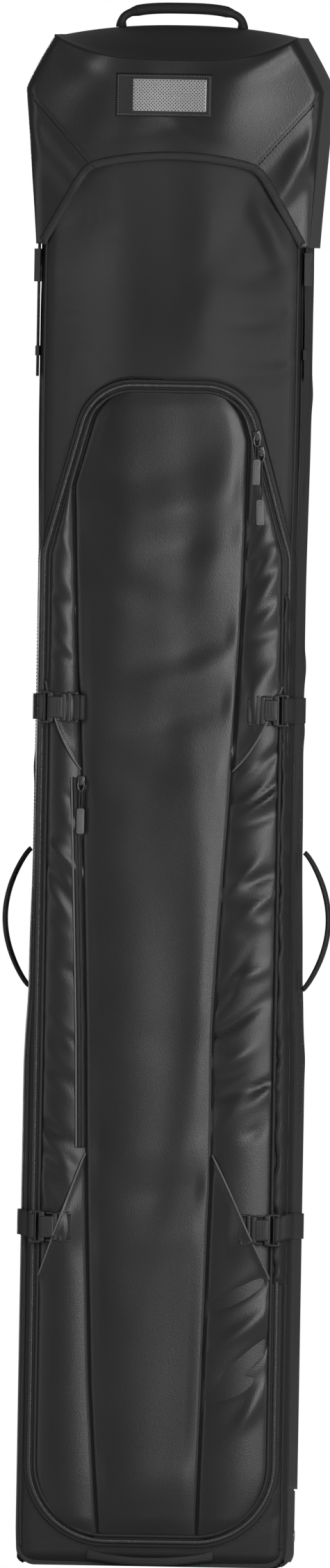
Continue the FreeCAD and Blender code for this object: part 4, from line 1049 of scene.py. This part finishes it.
def make_buckle(level, side):
    """Socket with its frame and bar, plug with its arms, and the webbing round the bag's edge.

    Each plate is (inner x, outer x, low z, high z, thickness, corner, edge, lift).
    """
    name = f"{level}_{SIDE_NAME[side]}"
    low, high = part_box(f"buckle_socket_{name}")
    z0 = (low.z + high.z) / 2
    face = buckle_face(z0)
    mid = face - 0.0042

    def moulding(piece_name, plates, body, replaced):
        blocks = []
        for x0, x1, z_low, z_high, thick, corner, edge, *lift in plates:
            centre = (side * (x0 + x1) / 2, mid - sum(lift), z0 + (z_low + z_high) / 2)
            half = ((x1 - x0) / 2, thick / 2, (z_high - z_low) / 2)
            blocks.append(moulded_block(centre, half, corner, edge))
        finished(blocks_piece(piece_name, blocks), body, "buckle_plastic", replaced)

    socket = [
        (SOCKET_IN + 0.004, SOCKET_OUT, -0.0135, 0.0135, 0.0085, 0.003, 0.0022, 0.0006),
        (SOCKET_IN, SOCKET_IN + 0.007, -0.0175, 0.0175, 0.0080, 0.0026, 0.0020, 0.0003),
        (SOCKET_OUT - 0.006, SOCKET_OUT + 0.0015, -0.0190, 0.0190, 0.0075, 0.0026, 0.0018),
        (BAR_OUT - 0.0042, BAR_OUT, -0.0195, 0.0195, 0.0062, 0.0020, 0.0016),
        (SOCKET_OUT - 0.002, BAR_OUT, 0.0165, 0.0200, 0.0062, 0.0016, 0.0014),
        (SOCKET_OUT - 0.002, BAR_OUT, -0.0200, -0.0165, 0.0062, 0.0016, 0.0014),
        (SOCKET_OUT + 0.0045, SOCKET_OUT + 0.0065, -0.0170, 0.0170, 0.0040, 0.0008, 0.0006),
    ]
    for start in (SOCKET_IN + 0.0065 + 0.0035 * i for i in range(3)):
        socket.append((start, start + 0.0015, -0.0085, 0.0085, 0.0096, 0.0007, 0.0005, 0.0006))
    moulding(f"buckle_socket_{name}_moulding", socket, f"strap_{name}", [f"buckle_socket_{name}"])
    plug = [
        (PLUG_OUT - 0.0052, PLUG_OUT, -0.0185, 0.0185, 0.0072, 0.0022, 0.0016),
        (PLUG_IN, PLUG_IN + 0.0040, -0.0185, 0.0185, 0.0058, 0.0018, 0.0014),
        (PLUG_IN, PLUG_OUT, 0.0160, 0.0190, 0.0058, 0.0014, 0.0012),
        (PLUG_IN, PLUG_OUT, -0.0190, -0.0160, 0.0058, 0.0014, 0.0012),
        (PLUG_OUT - 0.002, SOCKET_IN + 0.0145, 0.0150, 0.0180, 0.0050, 0.0014, 0.0012),
        (PLUG_OUT - 0.002, SOCKET_IN + 0.0145, -0.0180, -0.0150, 0.0050, 0.0014, 0.0012),
    ]
    moulding(f"buckle_plug_{name}_moulding", plug, "lid", ["buckle_plugs"])

    width = float(half_width(z0)) + 0.0026
    corner, lead = 0.018, face + 0.0015
    droop = 0.006 if level == "lower" else 0.001
    line = [(SOCKET_OUT + 0.0075, mid + 0.001), (BAR_OUT - 0.006, mid - 0.0035), (BAR_OUT, mid - 0.0032)]
    for a in np.linspace(0, math.pi / 2, 14):
        line.append((width - corner + corner * math.sin(a), lead + corner - (corner + 0.0018) * math.cos(a)))
    line.append((width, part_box(f"compression_strap_{name}")[1].y))
    lateral = np.linspace(-1, 1, 9)[None]
    webbing_band(f"webbing_{name}", line, 90, side,
                 lambda x: z0 + lateral * WEB_HALF * 0.97 + droop * smooth(0.145, 0.168, np.abs(x)),
                 0.0017, f"strap_{name}", (side * 0.3, -1, 0), [f"compression_strap_{name}"])
    line = [(PLUG_IN + 0.008, mid), (PLUG_IN, mid - 0.003), (PLUG_IN - 0.002, face + 0.001),
            (PLUG_IN - 0.007, face + 0.0025)]
    webbing_band(f"plug_webbing_{name}", line, 24, side, lambda x: z0 + lateral * 0.0155,
                 0.0015, "lid", FRONTWARDS)


def zip_hardware(name, x, z, turn, surface, length, tab_turn):
    """A slider with its bridge, and its pull: a wire loop, two cords and a moulded tab."""
    y = surface - 0.0030
    body = [
        moulded_block((x, y, z), (0.0044, 0.0017, 0.0062), 0.0024, 0.0011, turn),
        moulded_block((x, y - 0.0020, z + 0.0004), (0.0022, 0.0010, 0.0048), 0.0010, 0.0007, turn),
    ]
    finished(blocks_piece(f"{name}_body", body), name, "slider_metal", [name])
    pull = name.replace("slider", "pull")
    angle = np.linspace(0, 2 * math.pi, 33)[:-1]
    hang = y - 0.0030
    loop = np.stack([x + 0.0038 * np.cos(angle), np.full(32, hang - 0.0004),
                     z - 0.0055 + 0.0072 * np.sin(angle)], 1)
    tube_piece(f"{pull}_loop", loop, 0.0009, pull, "slider_metal", closed=True, replaced=[pull])
    top, foot = z - 0.0120, z - length + 0.030
    cord_z = np.linspace(top + 0.0005, foot - 0.003, 30)
    bow = 0.0006 * np.sin((cord_z - foot) / (top - foot) * math.pi)
    for i, side in enumerate(SIDE_NAME):
        cord = np.stack([x + side * (0.0011 + bow), np.full(30, hang - 0.0002), cord_z], 1)
        tube_piece(f"{pull}_cord_{i}", cord, 0.0011, pull, "webbing")
    tab_z = z - length + 0.0155
    tab = [
        moulded_block((x, hang, tab_z), (0.0048, 0.0014, 0.0155), 0.0022, 0.0011, tab_turn),
        moulded_block((x, hang - 0.0010, tab_z - 0.0010), (0.0030, 0.0010, 0.0112), 0.0014, 0.0007, tab_turn),
        moulded_block((x, hang - 0.0006, tab_z + 0.0140), (0.0036, 0.0018, 0.0018), 0.0012, 0.0009, tab_turn),
    ]
    finished(blocks_piece(f"{pull}_tab", tab), pull, "pull_plastic")


def make_zip_hardware():
    """Two sliders on the main zip, turned with its lean, and one on the pocket zip."""
    lean = math.atan2(LID_HALF - LID_TOP_HALF, LID_TOP - LID_SHOULDER)
    for name, length, tilt in (("main_slider_upper", 0.060, 0.02), ("main_slider_lower", 0.090, -0.02)):
        low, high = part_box(name)
        z = (low.z + high.z) / 2
        x = float(lid_half(z))
        zip_hardware(name, x, z, -lean, float(front_surface(x, z)) - 0.0030, length, tilt)
    low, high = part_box("pocket_slider")
    x, z = (low.x + high.x) / 2, (low.z + high.z) / 2
    zip_hardware("pocket_slider", x, z, 0.04, float(lid_surface(x, z)) - 0.0020, 0.065, 0.0)


def make_pocket_zip():
    """The pocket zip beside the centre panel: two dark stripes, the tape and a painted shadow along the coil,
    and the flap's bright edge.
    """
    low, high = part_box("pocket_zip_tape")
    z = np.linspace(low.z, high.z, 240)
    rows = z[:, None]
    s = np.linspace(0, 1, 9)[None]
    for label, near, far, lift, finish, replaced in (
            ("tape", 0.0008, 0.0098, 0.0012, "zip_tape", ["pocket_zip_tape"]),
            ("coil_shadow", 0.0044, 0.0056, 0.0018, "shadow_gap", [])):
        x = seam_x(-1, rows) - near - (far - near) * s
        y = lid_surface(x, rows) - lift - 0.0010 * np.sin(s * math.pi)
        cloth_piece(f"pocket_{label}", x, y, rows, 0.0012, "lid", finish, replaced)
    path = on_lid(seam_x(-1, z) - 0.0112, z, 0.0016)
    tube_piece("pocket_flap_edge", path, 0.0013, "lid", "pull_plastic")


def make_placket():
    """The rumpled flap over the zip's right side: a strip that ripples along its free edge.

    Its ripples are sines whose phase wanders with the height.
    """
    foot, top = 0.345, 1.185
    z = np.linspace(foot, top, 420)[:, None]
    s = np.linspace(0, 1, 16)[None]
    ripple = 0.0016 * np.sin(z * 210 + 3 * np.sin(z * 31)) + 0.0012 * np.sin(z * 97 + 1.0)
    inner = 0.1430 + 0.0011 * np.sin(z * 75 + 2 * np.sin(z * 17))
    x = inner + (half_width(z) - 0.0035 - inner) * s
    free = 1 - smooth(0, 0.55, s)
    stand = 0.0058 * np.sin(np.clip(s * 1.15, 0, 1) * math.pi) ** 0.6 + 0.0016
    ends = smooth(foot, foot + 0.011, z) * (1 - smooth(top - 0.011, top, z))
    y = front_surface(x, z) - stand * (0.35 + 0.65 * ends) - ripple * (0.35 + 0.65 * free)
    flap = cloth_piece("zip_flap", x, y, z, 0.0016, "root", "body_fabric", ["zip_placket"])


def make_side_handle(side):
    """A webbing loop that bows out as a power of a sine: a band narrowed at its sewn ends."""
    name = SIDE_NAME[side]
    low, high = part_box(f"side_handle_{name}")
    start = min(abs(low.x), abs(high.x)) + 0.0030
    reach = max(abs(low.x), abs(high.x)) - 0.0032
    t = np.linspace(0, 1, 110)
    z = low.z + 0.001 + (high.z - low.z - 0.002) * t
    x = start + (reach - start) * np.clip(np.sin(t * math.pi), 0, 1) ** 0.78
    half = np.minimum(0.0120, 0.0028 + 0.40 * (x - start))
    path = np.stack([side * x, 0 * x, z], 1)
    step = np.gradient(path, axis=0)
    step /= np.linalg.norm(step, axis=1, keepdims=True)
    across = np.array([0.0, 1.0, 0.0])
    normal = np.cross(step, across)
    angle = np.linspace(0, 2 * math.pi, 25)[:-1]
    thick = 0.0030
    squared = np.sign(np.cos(angle)) * np.abs(np.cos(angle)) ** 0.35
    ring = (squared[None, :, None] * half[:, None, None] * across
            + (np.sin(angle) * thick)[None, :, None] * normal[:, None])
    piece = grid_piece(f"side_handle_{name}_band", capped(path[:, None] + ring), wrap_v=True)
    finished(piece, f"side_handle_{name}", "webbing", [f"side_handle_{name}"])


def side_strip(name, side, low_z, high_z, half, lift, replaced):
    """Webbing sewn flat on the bag's side, raised by lift, its rim pressed down."""
    z, y = np.linspace(low_z, high_z, 60)[:, None], np.linspace(-half, half, 15)[None]
    rim = np.minimum(np.minimum(z - low_z, high_z - z), np.minimum(y + half, half - y))
    out = half_width(z) + side_bulge(y) + lift * smooth(-0.001, 0.0016, rim)
    cloth_piece(name, side * out, y, z, 0.0018, "root", "webbing", [replaced], facing=(side, 0, 0))


def make_side_trim():
    """The handle's sewn patches, and the rows of daisy webbing above and below it, bar-tacked."""
    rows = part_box("daisy_webbing")
    tack = moulded_block((0, 0, 0), (0.0108, 0.0007, 0.0011), 0.0008, 0.0005)
    for side, name in SIDE_NAME.items():
        low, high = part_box(f"side_handle_{name}")
        for end, low_z, high_z in (("low", low.z - 0.004, low.z + 0.024),
                                   ("high", high.z - 0.024, high.z + 0.004)):
            side_strip(f"handle_patch_{end}_{name}", side, low_z, high_z, 0.015, 0.0018, "handle_patches")
        for end, low_z, high_z in (("below", rows[0].z, low.z - 0.006),
                                   ("above", high.z + 0.006, rows[1].z)):
            side_strip(f"daisy_row_{end}_{name}", side, low_z, high_z, 0.0128, 0.0016, "daisy_webbing")
            blocks = []
            for z in np.arange(low_z + 0.006, high_z - 0.004, 0.0265):
                out = half_width(z) + side_bulge(0.0) + 0.0018
                blocks.append(np.stack([side * (out - tack[..., 1]), tack[..., 0], z + tack[..., 2]], -1))
            finished(blocks_piece(f"daisy_tacks_{end}_{name}", blocks), "root", "thread")


def make_bottom_handle():
    """A low webbing handle across the foot, lifted and widened by powers towards its ends."""
    low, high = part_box("bottom_handle")
    t = np.linspace(-1, 1, 120)
    reach = np.abs(t)
    half = 0.0050 + 0.0012 * smooth(0.75, 1.0, reach)
    z = low.z + 0.0045 + 0.0085 * reach ** 2.2
    y = low.y + 0.0015 - 0.0065 * (1 - t ** 2)
    angle = np.linspace(0, 2 * math.pi, 17)[:-1]
    squared = np.sign(np.cos(angle)) * np.abs(np.cos(angle)) ** 0.5
    points = np.stack(np.broadcast_arrays((high.x * t)[:, None], y[:, None] + 0.0018 * np.sin(angle),
                                          z[:, None] + squared * half[:, None]), -1)
    piece = grid_piece("bottom_handle_band", capped(points), wrap_v=True)
    finished(piece, "bottom_handle", "webbing", ["bottom_handle"])


def make_edge_piping():
    """Sewn piping down both front edges of the body."""
    z = np.linspace(0.022, BODY_TOP - 0.002, 400)
    for side, name in SIDE_NAME.items():
        x = side * (half_width(z) - 0.0068)
        path = np.stack([x, body_front(x, z) - 0.0002, z], 1)
        tube_piece(f"edge_piping_{name}", path, 0.0017, "root", "webbing")


# ---- camera, light and floor -----------------------------------------------------------
def add_lamp(name, place, target, size, power):
    """A rectangular studio lamp at a place, turned to look at a target."""
    lamp = bpy.data.lights.new(name, "AREA")
    lamp.shape = "RECTANGLE"
    lamp.size, lamp.size_y = size
    lamp.energy = power
    item = bpy.data.objects.new(name, lamp)
    item.location = place
    item.rotation_mode = "QUATERNION"
    item.rotation_quaternion = (Vector(target) - Vector(place)).to_track_quat("-Z", "Y")
    bpy.context.scene.collection.objects.link(item)


def set_camera_and_light():
    """An orthographic camera a little to the right, four lamps and a dim white surround."""
    scene = bpy.context.scene
    camera = bpy.data.objects.new("camera", bpy.data.cameras.new("camera"))
    scene.collection.objects.link(camera)
    scene.camera = camera
    camera.data.type = "ORTHO"
    camera.data.ortho_scale = 1.9066
    camera.data.clip_end = 50
    azimuth, roll = math.radians(4.0), math.radians(0.98)
    distance, shift = 6, 0.0050
    centre = Vector((0.0, 0.0, 0.9516))
    back = Vector((math.sin(azimuth), -math.cos(azimuth), 0))
    right = Vector((math.cos(azimuth), math.sin(azimuth), 0))
    camera.rotation_mode = "QUATERNION"
    turn = (-back).to_track_quat("-Z", "Y").to_matrix() @ Matrix.Rotation(roll, 3, "Z")
    camera.rotation_quaternion = turn.to_quaternion()
    camera.location = centre + back * distance - right * shift
    world = bpy.data.worlds.new("studio")
    scene.world = world
    world.use_nodes = True
    tree = world.node_tree
    background = tree.nodes["Background"]
    path = tree.nodes.new("ShaderNodeLightPath")
    ambient = 0.16
    seen = math_node(tree, "MAXIMUM", path.outputs["Is Camera Ray"], path.outputs["Is Transmission Ray"])
    strength = math_node(tree, "ADD", math_node(tree, "MULTIPLY", seen, 1 - ambient), ambient)
    tree.links.new(strength, background.inputs["Strength"])
    background.inputs["Color"].default_value = (1, 1, 1, 1)
    scene.view_settings.view_transform = "Standard"
    add_lamp("key", (1.45, -3.7, 1.55), (0, 0, 1.15), (0.55, 2.2), 76)
    add_lamp("side", (3.4, -1.4, 1.2), (0, 0, 1.0), (0.6, 2.2), 16)
    add_lamp("rear", (-1.8, 3.6, 1.6), (0, 0, 1.0), (0.8, 2.2), 60)
    add_lamp("fill", (-3.0, -2.4, 1.1), (0, 0, 0.9), (0.8, 2.4), 16)


def make_floor():
    """A plain pale floor, white to the camera and soft grey to the light."""
    reach = 6.0
    corners = np.array([[[-1, -1, 0], [-1, 1, 0]], [[1, -1, 0], [1, 1, 0]]]) * reach
    floor = grid_piece("floor", corners, facing=(0, 0, 1))
    material = bpy.data.materials.new("pale_floor")
    material.use_nodes = True
    tree = material.node_tree
    shader = tree.nodes["Principled BSDF"]
    shader.inputs["Base Color"].default_value = (*grey(0.82), 1)
    shader.inputs["Roughness"].default_value = 0.8
    seen = tree.nodes.new("ShaderNodeLightPath").outputs["Is Camera Ray"]
    glow = tree.nodes.new("ShaderNodeMix")
    glow.data_type = "RGBA"
    glow.inputs[6].default_value = (*grey(0.0), 1)
    glow.inputs[7].default_value = (*grey(0.55), 1)
    tree.links.new(seen, glow.inputs[0])
    tree.links.new(glow.outputs[2], shader.inputs["Emission Color"])
    shader.inputs["Emission Strength"].default_value = 1.0
    floor.data.materials.append(material)


dress_cad_nodes()
make_lid()
for wing_level in ("upper", "lower"):
    for wing_side in SIDE_NAME:
        make_wing(wing_level, wing_side)
make_main_zip()
make_front_cloth()
make_side_and_back_cloth()
make_hood()
make_hood_seams()
make_label()
make_top_handle()
for buckle_level in ("upper", "lower"):
    for buckle_side in SIDE_NAME:
        make_buckle(buckle_level, buckle_side)
make_zip_hardware()
make_pocket_zip()
make_placket()
for handle_side in SIDE_NAME:
    make_side_handle(handle_side)
make_side_trim()
make_bottom_handle()
make_edge_piping()
make_floor()
set_camera_and_light()
